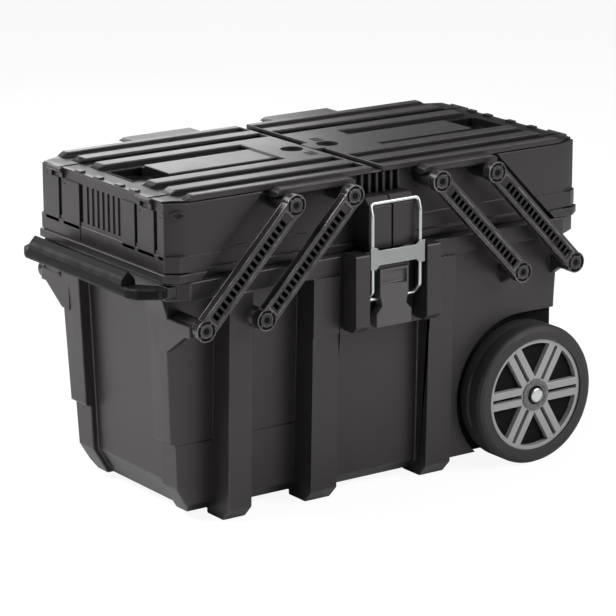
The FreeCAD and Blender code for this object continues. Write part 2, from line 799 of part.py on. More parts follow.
def make_tray(side, name):
    inner = d.seam_half_gap * side
    outer = d.tray_end * side

    def across(a, b, y0, y1, z0, z1):
        x_low, x_high = span(a, b)
        y_low, y_high = span(y0, y1)
        return box((x_low, y_low, z0), (x_high, y_high, z1))

    def ring_plate(half, proud, notch, z0, z1):
        """A plate in plan with chamfered outer corners."""
        end = outer + proud * side
        corner = end - notch * side
        cut_in = half - d.corner_depth
        return prism("XY", [(inner, -half), (corner, -half), (end, -cut_in), (end, cut_in), (corner, half),
                            (inner, half)], z0, z1)

    core = d.tray_core_half
    face = d.panel_face
    line = d.band_groove
    wall = d.tray_wall
    past = d.overcut
    solids = [across(inner, outer, -core, core, tray_bottom, d.tray_top),
              ring_plate(face, as_size(0), d.corner_notch, tray_bottom, band_top),
              ring_plate(face + d.lip_proud, d.lip_proud, d.band_corner_notch, tray_bottom, lip_top),
              ring_plate(face + d.band_proud, d.band_proud, d.band_corner_notch,
                         lip_top + line, band_top - line)]
    hollows = [across(inner + wall * side, outer - wall * side, -(core - wall), core - wall,
                      tray_bottom + d.tray_floor, d.tray_top + past)]
    panel_start = outer - d.corner_notch * side
    catch_side = d.catch_half_width * side
    for front in both:
        # chamfered corner at the outer end
        solids.append(prism("XY", [(outer, (core - wall) * front), (outer, (face - d.corner_depth) * front),
                                   (panel_start, face * front), (panel_start, (core - wall) * front)],
                            tray_bottom, d.tray_top))
        # raised outer panel with a slanted edge, hollow behind
        solids.append(prism("XZ", [(panel_start, tray_bottom), (panel_edge(tray_bottom) * side, tray_bottom),
                                   (panel_edge(d.tray_top) * side, d.tray_top), (panel_start, d.tray_top)],
                            *span((core - wall) * front, face * front)))
        bulge = [(panel_start - wall * side, band_top), ((panel_edge(band_top) + wall * 2) * side, band_top),
                 ((panel_edge(d.tray_top) + wall * 2) * side, d.tray_top + past),
                 (panel_start - wall * side, d.tray_top + past)]
        hollows.append(prism("XZ", bulge, *span((core - wall - past) * front, (face - wall) * front)))
        under = [(panel_start - wall * side, tray_bottom - past),
                 ((panel_edge(tray_bottom) + wall * 2) * side, tray_bottom - past),
                 ((panel_edge(band_top - wall) + wall * 2) * side, band_top - wall),
                 (panel_start - wall * side, band_top - wall)]
        hollows.append(prism("XZ", under, *span(core * front, (face - wall) * front)))
        # recess in which the arms lie, with the lip and band carried across its floor
        beyond = (face + d.lip_proud + past) * front
        for low, high, proud in ((tray_bottom - past, lip_top, d.lip_proud),
                                 (lip_top, lip_top + line, as_size(0)),
                                 (lip_top + line, band_top - line, d.band_proud),
                                 (band_top - line, band_top + past, as_size(0))):
            strip = [(catch_side, low), (panel_edge(low) * side, low), (panel_edge(high) * side, high),
                     (catch_side, high)]
            hollows.append(prism("XZ", strip, *span((core + proud) * front, beyond)))
        hollows.append(across(inner - past * side, catch_side, core * front, beyond,
                              tray_bottom - past, band_top + past))
        # canopy over the upper pivots
        reach = d.canopy_front if front < 0 else d.canopy_rear
        under_side = upper_pivot_height + d.arm_hub_radius + d.canopy_gap
        top = under_side + d.canopy_thickness
        lid_side = d.lid_half_depth + d.running_gap * 2
        root = (core - past) * front
        section = [(root, d.tray_top - d.canopy_drop), (root, d.tray_top),
                   (lid_side * front, d.tray_top), (lid_side * front, top), (reach * front, top),
                   (reach * front, under_side),
                   ((arm_back - d.running_gap * 2) * front, under_side),
                   ((arm_back - d.canopy_drop) * front, d.tray_top - d.canopy_drop)]
        if front < 0:
            section = section[:5] + [(reach * front, under_side - d.canopy_thickness),
                                     ((reach - d.canopy_drop) * front, d.tray_top - d.canopy_drop)]
        start, finish = span((upper_inner_pivot - d.canopy_overhang) * side,
                             (upper_outer_pivot + d.canopy_overhang) * side)
        slant = d.canopy_overhang / 2
        low = d.tray_top - d.canopy_drop
        sides = prism("XZ", [(start, low), (start, d.tray_top), (start + slant, top), (finish - slant, top),
                             (finish, d.tray_top), (finish, low)],
                      *span((core - wall) * front, (reach + past) * front))
        solids.append(common(prism("YZ", section, start, finish), sides))
        # bosses that carry the upper pivots
        for pivot in (upper_outer_pivot, upper_inner_pivot):
            centre = (pivot * side, upper_pivot_height)
            solids.append(rod("Y", centre, *span((core - wall) * front, (arm_back - d.running_gap) * front),
                              d.boss_radius))
            hollows.append(rod("Y", centre, *span((core - wall / 2) * front, d.arm_face * front),
                               d.pivot_pin_radius))
        # upright ribs beside the seam, above the catch
        for step in range(3):
            middle = (d.seam_half_gap + d.seam_rib_width + d.seam_rib_pitch * step) * side
            solids.append(across(middle - d.seam_rib_width / 2, middle + d.seam_rib_width / 2, root,
                                 (core + d.seam_rib_proud) * front,
                                 d.tray_top - d.seam_rib_height, d.tray_top))
    # slots and grooves in the end wall, turned half round from one tray to the other
    sunk = outer - d.end_groove_depth * side
    proud = outer + past * side
    slots = int(d.slot_count.value)
    middle_slot = (slots - 1) / 2
    upright = [(d.slot_pitch * (step - middle_slot) - d.slot_centre, d.slot_width) for step in range(slots)]
    upright += [(d.rear_groove_place, d.slot_width), (d.split_place, d.split_width),
                (-d.front_groove_place, d.front_groove_width),
                (-d.front_edge_groove_place, d.front_groove_width)]
    for middle, width in upright:
        hollows.append(across(sunk, proud, middle * -side - width / 2, middle * -side + width / 2,
                              d.slot_bottom, d.slot_bottom + d.slot_height))
    split = d.split_place * -side
    hollows.append(across(outer, outer + (d.band_proud + past) * side, split - d.split_line_width / 2,
                          split + d.split_line_width / 2, lip_top + line, band_top))
    # hinge lugs on the end wall
    axis_x = outer + d.hinge_offset * side
    axis_z = d.tray_top
    for front in both:
        for lug in both:
            start = d.hinge_place * front + (d.hinge_knuckle_length / 2 + d.running_gap) * lug
            y0, y1 = span(start, start + d.hinge_knuckle_length / 2 * lug)
            solids.append(rod("Y", (axis_x, axis_z), y0, y1, d.hinge_knuckle_radius))
            solids.append(across(outer - past * side, axis_x, y0, y1, axis_z - d.hinge_lug_drop, axis_z))
        hollows.append(rod("Y", (axis_x, axis_z), d.hinge_place * front - d.hinge_bore_reach,
                           d.hinge_place * front + d.hinge_bore_reach, d.hinge_pin_radius))
    node(cut(fuse(solids), hollows), f"{name}_tray")

    pins = []
    for pivot in (upper_outer_pivot, upper_inner_pivot):
        for front in both:
            pins.append(pivot_pin(pivot * side, upper_pivot_height, core - wall / 2, front))
    group(pins, f"{name}_upper_pivot_pins")

    hinge_pins = []
    for front in both:
        reach = d.hinge_knuckle_length + d.running_gap
        hinge_pins.append(rod("Y", (axis_x, axis_z), d.hinge_place * front - reach,
                              d.hinge_place * front + reach, d.hinge_pin_radius))
    group(hinge_pins, f"{name}_lid_hinge_pins")


# Lids: ribbed covers with a sunk plate and a hand pocket; the left lid has a low flange along the seam
def make_lid(side, name):
    inner = (d.lid_step if side < 0 else d.seam_half_gap) * side
    outer = d.tray_end * side
    half = d.lid_half_depth
    past = d.overcut
    floor = lid_top - d.groove_depth
    corner = outer - d.lid_corner_run * side
    cut_in = half - d.lid_corner_depth
    solids = [prism("XY", [(inner, -half), (corner, -half), (outer, -cut_in), (outer, cut_in), (corner, half),
                           (inner, half)], lid_bottom, lid_top)]
    hollows = []

    def across(a, b, y0, y1, z0, z1):
        low, high = span(a, b)
        return box((low, y0, z0), (high, y1, z1))

    if side < 0:
        # low flange along the seam
        flange_end = d.seam_half_gap * side
        solids.append(across(inner + past * side, flange_end, -half, half,
                             lid_bottom, lid_bottom + d.lid_flange))
        dish = d.left_dish_place * side
    else:
        dish = d.right_dish_place * side
    hollows.append(rod("Z", (dish, -d.dish_front), lid_top - d.dish_depth, lid_top + past, d.dish_radius))
    # low end past the ribs, whose ends slope down to it
    flat = outer - d.lid_end_flat * side
    slope = flat - d.lid_bevel_run * side
    beyond = outer + past * side
    hollows.append(prism("XZ", [(slope, lid_top + past), (slope, lid_top), (flat, floor), (beyond, floor),
                                (beyond, lid_top + past)], -half, half))
    # grooves between the ribs, and the sunk plate with its own two grooves
    start = inner + d.lid_border * side
    edge = half - d.edge_width
    step = d.groove_width + d.rib_width
    rows = [(edge - d.groove_width, edge, start), (edge - step - d.groove_width, edge - step, start),
            (d.plate_half, d.plate_half + d.plate_groove_width, d.plate_groove_end * side)]
    for front in both:
        for near, far, begin in rows:
            y0, y1 = span(near * front, far * front)
            hollows.append(across(begin, beyond, y0, y1, floor, lid_top + past))
    hollows.append(across(d.plate_groove_end * side, d.pocket_inner * side, -d.plate_half, d.plate_half,
                          lid_top - d.plate_sink, lid_top + past))
    # hand pocket, a cup that hangs below the lid
    skin = d.pocket_wall
    cup = floor - d.pocket_depth
    cup_half = d.pocket_half + skin
    solids.append(across((d.pocket_outer + skin) * side, (d.pocket_inner - skin) * side, -cup_half, cup_half,
                         cup - skin, lid_bottom + skin))
    hollows.append(across(d.pocket_outer * side, d.pocket_inner * side, -d.pocket_half, d.pocket_half,
                          cup, lid_top + past))
    # hinge knuckles at the outer end
    axis_x = outer + d.hinge_offset * side
    axis_z = d.tray_top
    knuckles = []
    bores = []
    for front in both:
        middle = d.hinge_place * front
        low, high = middle - d.hinge_knuckle_length / 2, middle + d.hinge_knuckle_length / 2
        knuckles.append(rod("Y", (axis_x, axis_z), low, high, d.hinge_knuckle_radius))
        knuckles.append(across(flat, axis_x, low, high, lid_bottom, axis_z + d.hinge_knuckle_radius))
        bores.append(rod("Y", (axis_x, axis_z), low - past, high + past,
                         d.hinge_pin_radius + d.pin_clearance))
    ribbed = cut(fuse(solids), hollows)
    node(cut(fuse([ribbed] + knuckles), bores), f"{name}_lid")


# Catch block under which the latch bar rests, one half on each tray
def make_catch(side, name):
    ends = span(d.seam_half_gap * side, d.catch_half_width * side)
    face = -d.catch_face
    back = -d.tray_core_half
    profile = [(back, d.catch_bottom), (face, d.catch_bottom), (face, d.catch_step),
               (face + d.catch_slope, d.catch_top), (back, d.catch_top)]
    wall = d.catch_wall
    low = d.catch_bottom - d.overcut
    hollow = [(back - wall, low), (face + wall, low), (face + wall, d.catch_step - wall),
              (face + d.catch_slope + wall, d.catch_top - wall), (back - wall, d.catch_top - wall)]
    block = prism("YZ", profile, ends[0], ends[1])
    node(cut(block, [prism("YZ", hollow, ends[0] + wall, ends[1] - wall)]), f"{name}_catch")


# Latch: a lever on a bracket draws the wire bail down
def make_latch():
    panel = -d.latch_panel_face
    plate_front = panel - d.bracket_plate_thickness
    pivot_y = -d.lever_pivot_place
    pivot_z = d.lever_pivot_height
    ear_in = d.lever_half_width + d.running_gap
    ear_out = ear_in + d.bracket_ear_thickness
    plate = box((-ear_out, plate_front, d.lever_bottom), (ear_out, panel, pivot_z + d.lever_barrel_radius))
    ears = []
    for side in both:
        ends = span(ear_in * side, ear_out * side)
        ears.append(prism("YZ", [(plate_front, pivot_z - d.lever_barrel_radius * 3),
                                 (pivot_y - d.lever_barrel_radius, pivot_z - d.lever_barrel_radius / 2),
                                 (pivot_y - d.lever_barrel_radius, pivot_z + d.lever_barrel_radius),
                                 (plate_front, pivot_z + d.lever_barrel_radius)], ends[0], ends[1]))
    bore_end = ear_out + d.overcut
    bore = rod("X", (pivot_y, pivot_z), -bore_end, bore_end, d.lever_pin_radius)
    node(cut(fuse([plate] + ears), [bore]), "latch_bracket")
    node(rod("X", (pivot_y, pivot_z), -ear_out, ear_out, d.lever_pin_radius), "latch_lever_pin")

    half = d.lever_half_width
    grip = d.lever_grip_half_width
    waist = d.lever_bottom + d.lever_grip_height
    front = -d.lever_face
    back = front + d.lever_thickness
    narrow = half - d.lever_waist
    shape = prism("XZ", [(-half, pivot_z), (-half, waist + d.lever_grip_height / 2), (-narrow, waist),
                         (-grip, waist - d.lever_grip_height / 3), (-grip, d.lever_bottom),
                         (grip, d.lever_bottom), (grip, waist - d.lever_grip_height / 3), (narrow, waist),
                         (half, waist + d.lever_grip_height / 2), (half, pivot_z)], front, back)
    barrel = rod("X", (pivot_y, pivot_z), -half, half, d.lever_barrel_radius)
    recess_top = pivot_z - d.lever_barrel_radius / 2
    past = d.overcut
    recess = box((-narrow, front - past, recess_top - d.lever_recess_height),
                 (narrow, front + d.lever_recess_depth, recess_top))
    shell = half - d.lever_shell
    hollow = box((-shell, back - d.lever_thickness / 2, d.lever_bottom + d.lever_shell),
                 (shell, back + past, d.bail_pivot_height - d.lever_pivot_land))
    holes = [rod("X", (pivot_y, pivot_z), -half - past, half + past, d.lever_pin_radius + d.pin_clearance),
             rod("X", (-d.bail_pivot_place, d.bail_pivot_height), -half - past, half + past,
                 d.wire_radius + d.pin_clearance)]
    node(cut(fuse([shape, barrel]), [recess, hollow] + holes), "latch_lever")

    # wire bail: two legs, a top bar in front of the catch and two ends turned into the lever
    bar_y = -(d.catch_face + d.bail_gap + d.wire_radius)
    leg_x = d.bail_half_width
    corners = []
    for side in both:
        half_path = [(d.bail_end * side, -d.bail_pivot_place, d.bail_pivot_height),
                     (leg_x * side, -d.bail_pivot_place, d.bail_pivot_height),
                     (leg_x * side, -d.bail_face, d.bail_pivot_height + d.bail_kick),
                     (leg_x * side, -d.bail_face, d.bail_top - d.bail_lean),
                     (leg_x * side, bar_y, d.bail_top)]
        corners.extend(half_path if side < 0 else half_path[::-1])
    points = [FreeCAD.Vector((x + seam_x).value, (y + seam_y).value, z.value) for x, y, z in corners]
    wire_path = rounded_path(points, d.bail_corner_radius.value)
    profile = Part.Wire(Part.makeCircle(d.wire_radius.value, points[0], points[1] - points[0]))
    bail = doc.addObject("Part::Feature", "bail")
    bail.Shape = wire_path.makePipeShell([profile], True, True)
    node(bail, "latch_bail")

    plate_back = -(d.bail_face + d.wire_radius)
    plate_low = d.bail_plate_bottom
    tab = d.bail_half_width + d.wire_radius * 2
    tab_low = plate_low + d.bail_plate_height / 2 - d.bail_tab_height / 2
    tab_in = tab - d.bail_tab_width
    high = plate_low + d.bail_plate_height
    tab_high = tab_low + d.bail_tab_height
    neck = tab_in - d.bail_plate_neck
    node(prism("XZ", [(-tab, tab_low), (-tab_in, tab_low), (-neck, plate_low), (neck, plate_low),
                      (tab_in, tab_low), (tab, tab_low), (tab, tab_high), (tab_in, tab_high),
                      (neck, high), (-neck, high), (-tab_in, tab_high), (-tab, tab_high)],
               plate_back - d.bail_plate_thickness, plate_back), "latch_bail_plate")


def rounded_path(points, radius):
    """Straight runs joined by tangent arcs of one radius."""
    edges = []
    start = points[0]
    for before, corner, after in zip(points, points[1:], points[2:]):
        into = (corner - before).normalize()
        out = (after - corner).normalize()
        half_turn = into.getAngle(out) / 2
        trim = radius * math.tan(half_turn)
        first = corner - into * trim
        last = corner + out * trim
        bisector = (out - into).normalize()
        centre = corner + bisector * (radius / math.cos(half_turn))
        middle = centre - bisector * radius
        edges.append(Part.LineSegment(start, first).toShape())
        edges.append(Part.Arc(first, middle, last).toShape())
        start = last
    edges.append(Part.LineSegment(start, points[-1]).toShape())
    return Part.Wire(edges)


# Pull handle: a grip across the end and two tubes that slide in the rim
def make_handle():
    outer = -d.handle_reach
    inner = outer + d.grip_thickness
    end = d.grip_shoulder
    low = d.grip_bottom
    high = low + d.grip_height
    tube_out = d.tube_place + d.tube_width / 2
    tube_in = d.tube_place - d.tube_width / 2
    root = -d.rim_end - d.overcut
    bend = d.grip_thickness
    bow = prism("XY", [(outer, -(end - bend / 2)), (outer + bend / 3, -(end + bend / 3)),
                       (root - bend / 2, -tube_out), (root, -tube_out), (root, -tube_in),
                       (inner, -(end - bend)), (inner, end - bend), (root, tube_in), (root, tube_out),
                       (root - bend / 2, tube_out), (outer + bend / 3, end + bend / 3),
                       (outer, end - bend / 2)], tube_bottom, tube_top)
    soft = d.grip_round
    bar = prism("XZ", [(outer, low + soft), (outer + soft, low), (inner - soft, low), (inner, low + soft),
                       (inner, high - soft), (inner - soft, high), (outer + soft, high),
                       (outer, high - soft)], -d.grip_half_length, d.grip_half_length)
    node(fuse([bow, bar]), "handle_grip")
    tubes = []
    for sign in both:
        middle = d.tube_place * sign
        shell = box((root, middle - d.tube_width / 2, tube_bottom),
                    (d.tube_end, middle + d.tube_width / 2, tube_top))
        core = box((root - d.overcut, middle - d.tube_width / 2 + d.tube_wall, tube_bottom + d.tube_wall),
                   (d.tube_end + d.overcut, middle + d.tube_width / 2 - d.tube_wall, tube_top - d.tube_wall))
        tubes.append(cut(shell, [core]))
    group(tubes, "handle_tubes")


# Wheels: a spoked rim, a tyre on it, and one axle with push-on caps
def make_wheel(front, name):
    turn = FreeCAD.Rotation() if front < 0 else FreeCAD.Rotation(FreeCAD.Vector(0, 0, 1), 180)
    width = d.tyre_width

    rim = new_body(f"{name}_wheel_rim")
    barrel = new_sketch(rim, "barrel", "XY_Plane")
    inside = d.rim_radius - d.rim_ring
    face = d.rim_recess
    hub = d.hub_tube_radius
    bore = d.axle_radius + d.axle_clearance
    web = face + d.spoke_depth
    web_back = web + d.web_thickness
    outline(barrel, [(bore, face), (d.hub_radius, face), (d.hub_radius, web), (inside, web), (inside, face),
                     (d.rim_radius, face), (d.rim_radius, width - face), (inside, width - face),
                     (inside, web_back), (hub, web_back), (hub, width), (bore, width)])
    axis = next(item for item in rim.Origin.OriginFeatures if item.Role == "Y_Axis")
    feature(rim, "Revolution", "barrel_turn", barrel, ReferenceAxis=(axis, [""]), Angle=360.0)
    doc.recompute()
    spokes = new_sketch(rim, "spokes", "XZ_Plane")
    bind(spokes, "AttachmentOffset.Base.z", -d.rim_recess)
    for pair in both:
        low = (d.spoke_gap / 2) * pair
        high = (d.spoke_gap / 2 + d.spoke_width) * pair
        rim_end = inside + d.overcut
        outline(spokes, [(hub, low), (rim_end, low), (rim_end, high), (hub, high)])
    pad = feature(rim, "Pad", "spoke_pad", spokes, Length=d.spoke_depth, Reversed=True)
    doc.recompute()
    star = rim.newObject("PartDesign::PolarPattern", fresh("spoke_star"))
    star.Originals = [pad]
    star.Axis = (axis, [""])
    star.Angle = 360.0
    star.Occurrences = int(d.spoke_pairs.value)
    rim.Tip = star
    place(rim, d.wheel_place, d.wheel_face * front, wheel_height, turn)

    tyre = new_body(f"{name}_tyre")
    section = new_sketch(tyre, "section", "XY_Plane")
    outer = d.wheel_radius
    shoulder = d.tyre_shoulder
    groove = d.tyre_groove
    outline(section, [(d.rim_radius, 0), (outer - shoulder, 0), (outer - shoulder / 3, shoulder / 3),
                      (outer, shoulder), (outer, width / 2 - groove * 2),
                      (outer - groove, width / 2 - groove), (outer - groove, width / 2 + groove),
                      (outer, width / 2 + groove * 2),
                      (outer, width - shoulder), (outer - shoulder / 3, width - shoulder / 3),
                      (outer - shoulder, width), (d.rim_radius, width)])
    axis = next(item for item in tyre.Origin.OriginFeatures if item.Role == "Y_Axis")
    feature(tyre, "Revolution", "section_turn", section, ReferenceAxis=(axis, [""]), Angle=360.0)
    place(tyre, d.wheel_place, d.wheel_face * front, wheel_height, turn)


def make_axle():
    reach = d.wheel_face
    centre = (d.wheel_place, wheel_height)
    node(rod("Y", centre, -reach, reach, d.axle_radius), "axle")
    caps = []
    for front in both:
        ends = span(reach * front, (reach + d.cap_height) * front)
        skirt = span((reach - d.rim_recess + d.running_gap) * front, (reach + d.cap_height / 2) * front)
        dome = doc.addObject("Part::Cone", fresh("dome"))
        bind(dome, "Radius1", d.cap_radius)
        bind(dome, "Radius2", d.cap_top_radius)
        bind(dome, "Height", d.cap_height / 2)
        place(dome, d.wheel_place, (reach + d.cap_height / 2) * front, wheel_height,
              FreeCAD.Rotation(FreeCAD.Vector(1, 0, 0), 90 if front < 0 else -90))
        caps.append(cut(fuse([rod("Y", centre, skirt[0], skirt[1], d.cap_radius), dome]),
                        [rod("Y", centre, -reach, reach, d.axle_radius)]))
    group(caps, "axle_caps")


make_bin()
make_arms()
make_lower_pins()
for hand, hand_name in ((-1, "left"), (1, "right")):
    make_tray(hand, hand_name)
    make_lid(hand, hand_name)
    make_catch(hand, hand_name)
make_latch()
make_handle()
make_wheel(-1, "front")
make_wheel(1, "rear")
make_axle()
doc.recompute()

for item in doc.Objects:
    if "Invalid" in item.State or "Error" in item.State:
        raise RuntimeError(f"{item.Label} did not build: {item.State}")
for item in nodes:
    if item.Shape.isNull() or not item.Shape.isValid():
        raise RuntimeError(f"{item.Label} has no valid shape")

os.makedirs("parts", exist_ok=True)
for item in nodes:
    item.Shape.exportStep(f"parts/{item.Label}.step")
    bounds = item.Shape.BoundBox
    print(f"{item.Label:28s} solids {len(item.Shape.Solids):2d}  volume {item.Shape.Volume / 1000:9.1f} cm3  "
          f"x {bounds.XMin:7.1f} {bounds.XMax:7.1f}  y {bounds.YMin:7.1f} {bounds.YMax:7.1f}  "
          f"z {bounds.ZMin:6.1f} {bounds.ZMax:6.1f}")
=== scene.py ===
import json
import math
import bmesh
import bpy
from mathutils import Matrix, Vector


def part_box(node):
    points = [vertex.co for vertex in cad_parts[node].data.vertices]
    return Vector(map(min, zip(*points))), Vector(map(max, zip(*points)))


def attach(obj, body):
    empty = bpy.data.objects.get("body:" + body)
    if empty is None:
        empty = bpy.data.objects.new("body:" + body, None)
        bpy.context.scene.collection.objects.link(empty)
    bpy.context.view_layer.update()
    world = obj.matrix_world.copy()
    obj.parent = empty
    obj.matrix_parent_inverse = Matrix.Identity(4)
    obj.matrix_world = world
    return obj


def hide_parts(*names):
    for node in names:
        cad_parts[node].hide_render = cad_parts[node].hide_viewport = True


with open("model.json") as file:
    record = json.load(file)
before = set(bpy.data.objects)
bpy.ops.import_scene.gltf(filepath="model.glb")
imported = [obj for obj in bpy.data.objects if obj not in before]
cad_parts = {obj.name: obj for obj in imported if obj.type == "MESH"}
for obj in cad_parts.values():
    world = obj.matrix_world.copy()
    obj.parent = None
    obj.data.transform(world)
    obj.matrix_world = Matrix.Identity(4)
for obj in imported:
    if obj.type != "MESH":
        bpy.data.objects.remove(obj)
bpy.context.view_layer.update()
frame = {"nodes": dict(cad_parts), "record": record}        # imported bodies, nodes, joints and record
record = frame["record"]
bodyOf = {node: body for body, members in record["behaviour"]["bodies"].items() for node in members}
slotOf = {row["node"]: row["material_slot"] for row in record["subparts"]}
mm = 0.001
seam = Vector((0.0166, -0.0065, 0.0))        # middle of the seam between the trays
roundProfile = 0.5                           # circular section of a bevel
print("frame loaded,", len(frame["nodes"]), "nodes")


# Camera at the photograph's place, solved for a 616 x 616 frame and aimed from the seam
camera = {
    "imageSize": 616,
    "focalPixels": 3056.2,
    "azimuth": -34.788,
    "elevation": 15.290,
    "roll": -0.197,
    "distance": 3.84448,
    "slideRight": -0.006869,
    "slideUp": 0.189723,
    "sensor": 36.0,
    "farthest": 100.0,
}


def placeCamera(look):
    turn = math.radians(look["azimuth"])
    rise = math.radians(look["elevation"])
    back = Vector((math.sin(turn) * math.cos(rise), -math.cos(turn) * math.cos(rise), math.sin(rise)))
    right = Vector((math.cos(turn), math.sin(turn), 0))
    up = back.cross(right)
    data = bpy.data.cameras.new("photoCamera")
    data.sensor_width = look["sensor"]
    data.lens = look["focalPixels"] / look["imageSize"] * look["sensor"]
    data.clip_end = look["farthest"]
    seen = bpy.data.objects.new("photoCamera", data)
    place = seam + right * look["slideRight"] + up * look["slideUp"] + back * look["distance"]
    axes = Matrix((right, up, back)).transposed().to_4x4()
    roll = Matrix.Rotation(math.radians(look["roll"]), 4, "Z")
    seen.matrix_world = Matrix.Translation(place) @ axes @ roll
    bpy.context.scene.collection.objects.link(seen)
    bpy.context.scene.camera = seen


placeCamera(camera)


# Node helpers
def addNode(tree, kind, **settings):
    made = tree.nodes.new(kind)
    for name, value in settings.items():
        setattr(made, name, value)
    return made


def join(tree, start, end):
    tree.links.new(start, end)


def startGroup(name, inputs, outputs):
    group = bpy.data.node_groups.new(name, "ShaderNodeTree")
    for label, value in inputs:
        socket = group.interface.new_socket(name=label, in_out="INPUT", socket_type="NodeSocketFloat")
        socket.default_value = value
    for label in outputs:
        group.interface.new_socket(name=label, in_out="OUTPUT", socket_type="NodeSocketFloat")
    return group, addNode(group, "NodeGroupInput"), addNode(group, "NodeGroupOutput")


def mathNode(tree, operation, first, second, clamp=False):
    made = addNode(tree, "ShaderNodeMath", operation=operation, use_clamp=clamp)
    for socket, value in zip(made.inputs, (first, second)):
        if isinstance(value, (int, float)):
            socket.default_value = value
        else:
            join(tree, value, socket)
    return made.outputs[0]


def remap(tree, value, low, high, newLow, newHigh):
    made = addNode(tree, "ShaderNodeMapRange", clamp=True)
    join(tree, value, made.inputs["Value"])
    for label, number in zip(("From Min", "From Max", "To Min", "To Max"), (low, high, newLow, newHigh)):
        made.inputs[label].default_value = number
    return made.outputs["Result"]


# a Mix node's colour sockets come after its plain and vector ones
mixSockets = {"mask": 0, "first": 6, "second": 7, "result": 2}


def blendColours(tree, mask, first, second):
    made = addNode(tree, "ShaderNodeMix", data_type="RGBA")
    join(tree, mask, made.inputs[mixSockets["mask"]])
    for label, value in (("first", first), ("second", second)):
        socket = made.inputs[mixSockets[label]]
        if isinstance(value, tuple):
            socket.default_value = (*value, 1)
        else:
            join(tree, value, socket)
    return made.outputs[mixSockets["result"]]


# Moulded grain: a fine pebbled height and a slow drift of tone
grainLook = {"scale": 900.0, "drift": 7.0, "fineDetail": 2.0, "pebbleRatio": 0.6, "slowDetail": 5.0,
             "slowRough": 0.62}


def buildGrain(look):
    inputs = [("Scale", look["scale"]), ("Drift", look["drift"])]
    group, given, result = startGroup("mouldedGrain", inputs, ["Height", "Tone"])
    place = addNode(group, "ShaderNodeTexCoord")
    fine = addNode(group, "ShaderNodeTexNoise")
    fine.inputs["Detail"].default_value = look["fineDetail"]
    pebble = addNode(group, "ShaderNodeTexVoronoi", feature="SMOOTH_F1")
    slow = addNode(group, "ShaderNodeTexNoise")
    slow.inputs["Detail"].default_value = look["slowDetail"]
    slow.inputs["Roughness"].default_value = look["slowRough"]
    for texture in (fine, pebble, slow):
        join(group, place.outputs["Object"], texture.inputs["Vector"])
    join(group, given.outputs["Scale"], fine.inputs["Scale"])
    coarser = mathNode(group, "MULTIPLY", given.outputs["Scale"], look["pebbleRatio"])
    join(group, coarser, pebble.inputs["Scale"])
    join(group, given.outputs["Drift"], slow.inputs["Scale"])
    height = mathNode(group, "MULTIPLY", fine.outputs["Fac"], pebble.outputs["Distance"])
    join(group, height, result.inputs["Height"])
    join(group, slow.outputs["Fac"], result.inputs["Tone"])
    return group


# Edge rub and painted highlight: the strips that round an edge carry the attribute, broken up by noise; on
# the arms this lighter edge colour is a painted highlight along the rails
edgeMarkLook = {"scale": 60.0, "amount": 0.5, "detail": 3.0, "noise": (0.35, 0.65), "least": 0.25}


def buildEdgeWearAndHighlight(look):
    inputs = [("Scale", look["scale"]), ("Amount", look["amount"])]
    group, given, result = startGroup("edgeWearAndHighlight", inputs, ["Mask"])
    strip = addNode(group, "ShaderNodeAttribute", attribute_name="edge")
    place = addNode(group, "ShaderNodeTexCoord")
    patch = addNode(group, "ShaderNodeTexNoise")
    patch.inputs["Detail"].default_value = look["detail"]
    join(group, place.outputs["Object"], patch.inputs["Vector"])
    join(group, given.outputs["Scale"], patch.inputs["Scale"])
    broken = remap(group, patch.outputs["Fac"], *look["noise"], look["least"], 1.0)
    wearAndHighlight = mathNode(group, "MULTIPLY", strip.outputs["Fac"], broken)
    join(group, mathNode(group, "MULTIPLY", wearAndHighlight, given.outputs["Amount"], True), result.inputs["Mask"])
    return group


# Fine dust: settles on what faces up, thicker in patches
dustLook = {"scale": 40.0, "amount": 0.1, "detail": 6.0, "rise": (0.2, 1.0), "least": 0.15,
            "noise": (0.4, 0.75)}


def buildDust(look):
    inputs = [("Scale", look["scale"]), ("Amount", look["amount"])]
    group, given, result = startGroup("fineDust", inputs, ["Mask"])
    facing = addNode(group, "ShaderNodeNewGeometry")
    split = addNode(group, "ShaderNodeSeparateXYZ")
    place = addNode(group, "ShaderNodeTexCoord")
    patch = addNode(group, "ShaderNodeTexNoise")
    patch.inputs["Detail"].default_value = look["detail"]
    join(group, facing.outputs["Normal"], split.inputs[0])
    join(group, place.outputs["Object"], patch.inputs["Vector"])
    join(group, given.outputs["Scale"], patch.inputs["Scale"])
    upward = remap(group, split.outputs["Z"], *look["rise"], look["least"], 1.0)
    patches = remap(group, patch.outputs["Fac"], *look["noise"], 0.0, 1.0)
    settled = mathNode(group, "MULTIPLY", upward, patches)
    join(group, mathNode(group, "MULTIPLY", settled, given.outputs["Amount"], True), result.inputs["Mask"])
    return group


# Painted shade in sunk places: faces marked as sunk, and what lies below a given height inside a given plan,
# in metres, get a mask that darkens them as shade
sunkLook = {"nowhere": -10.0, "halfLength": 0.296, "halfDepth": 0.138, "drop": (0.0022, 0.0040),
            "border": 0.003}


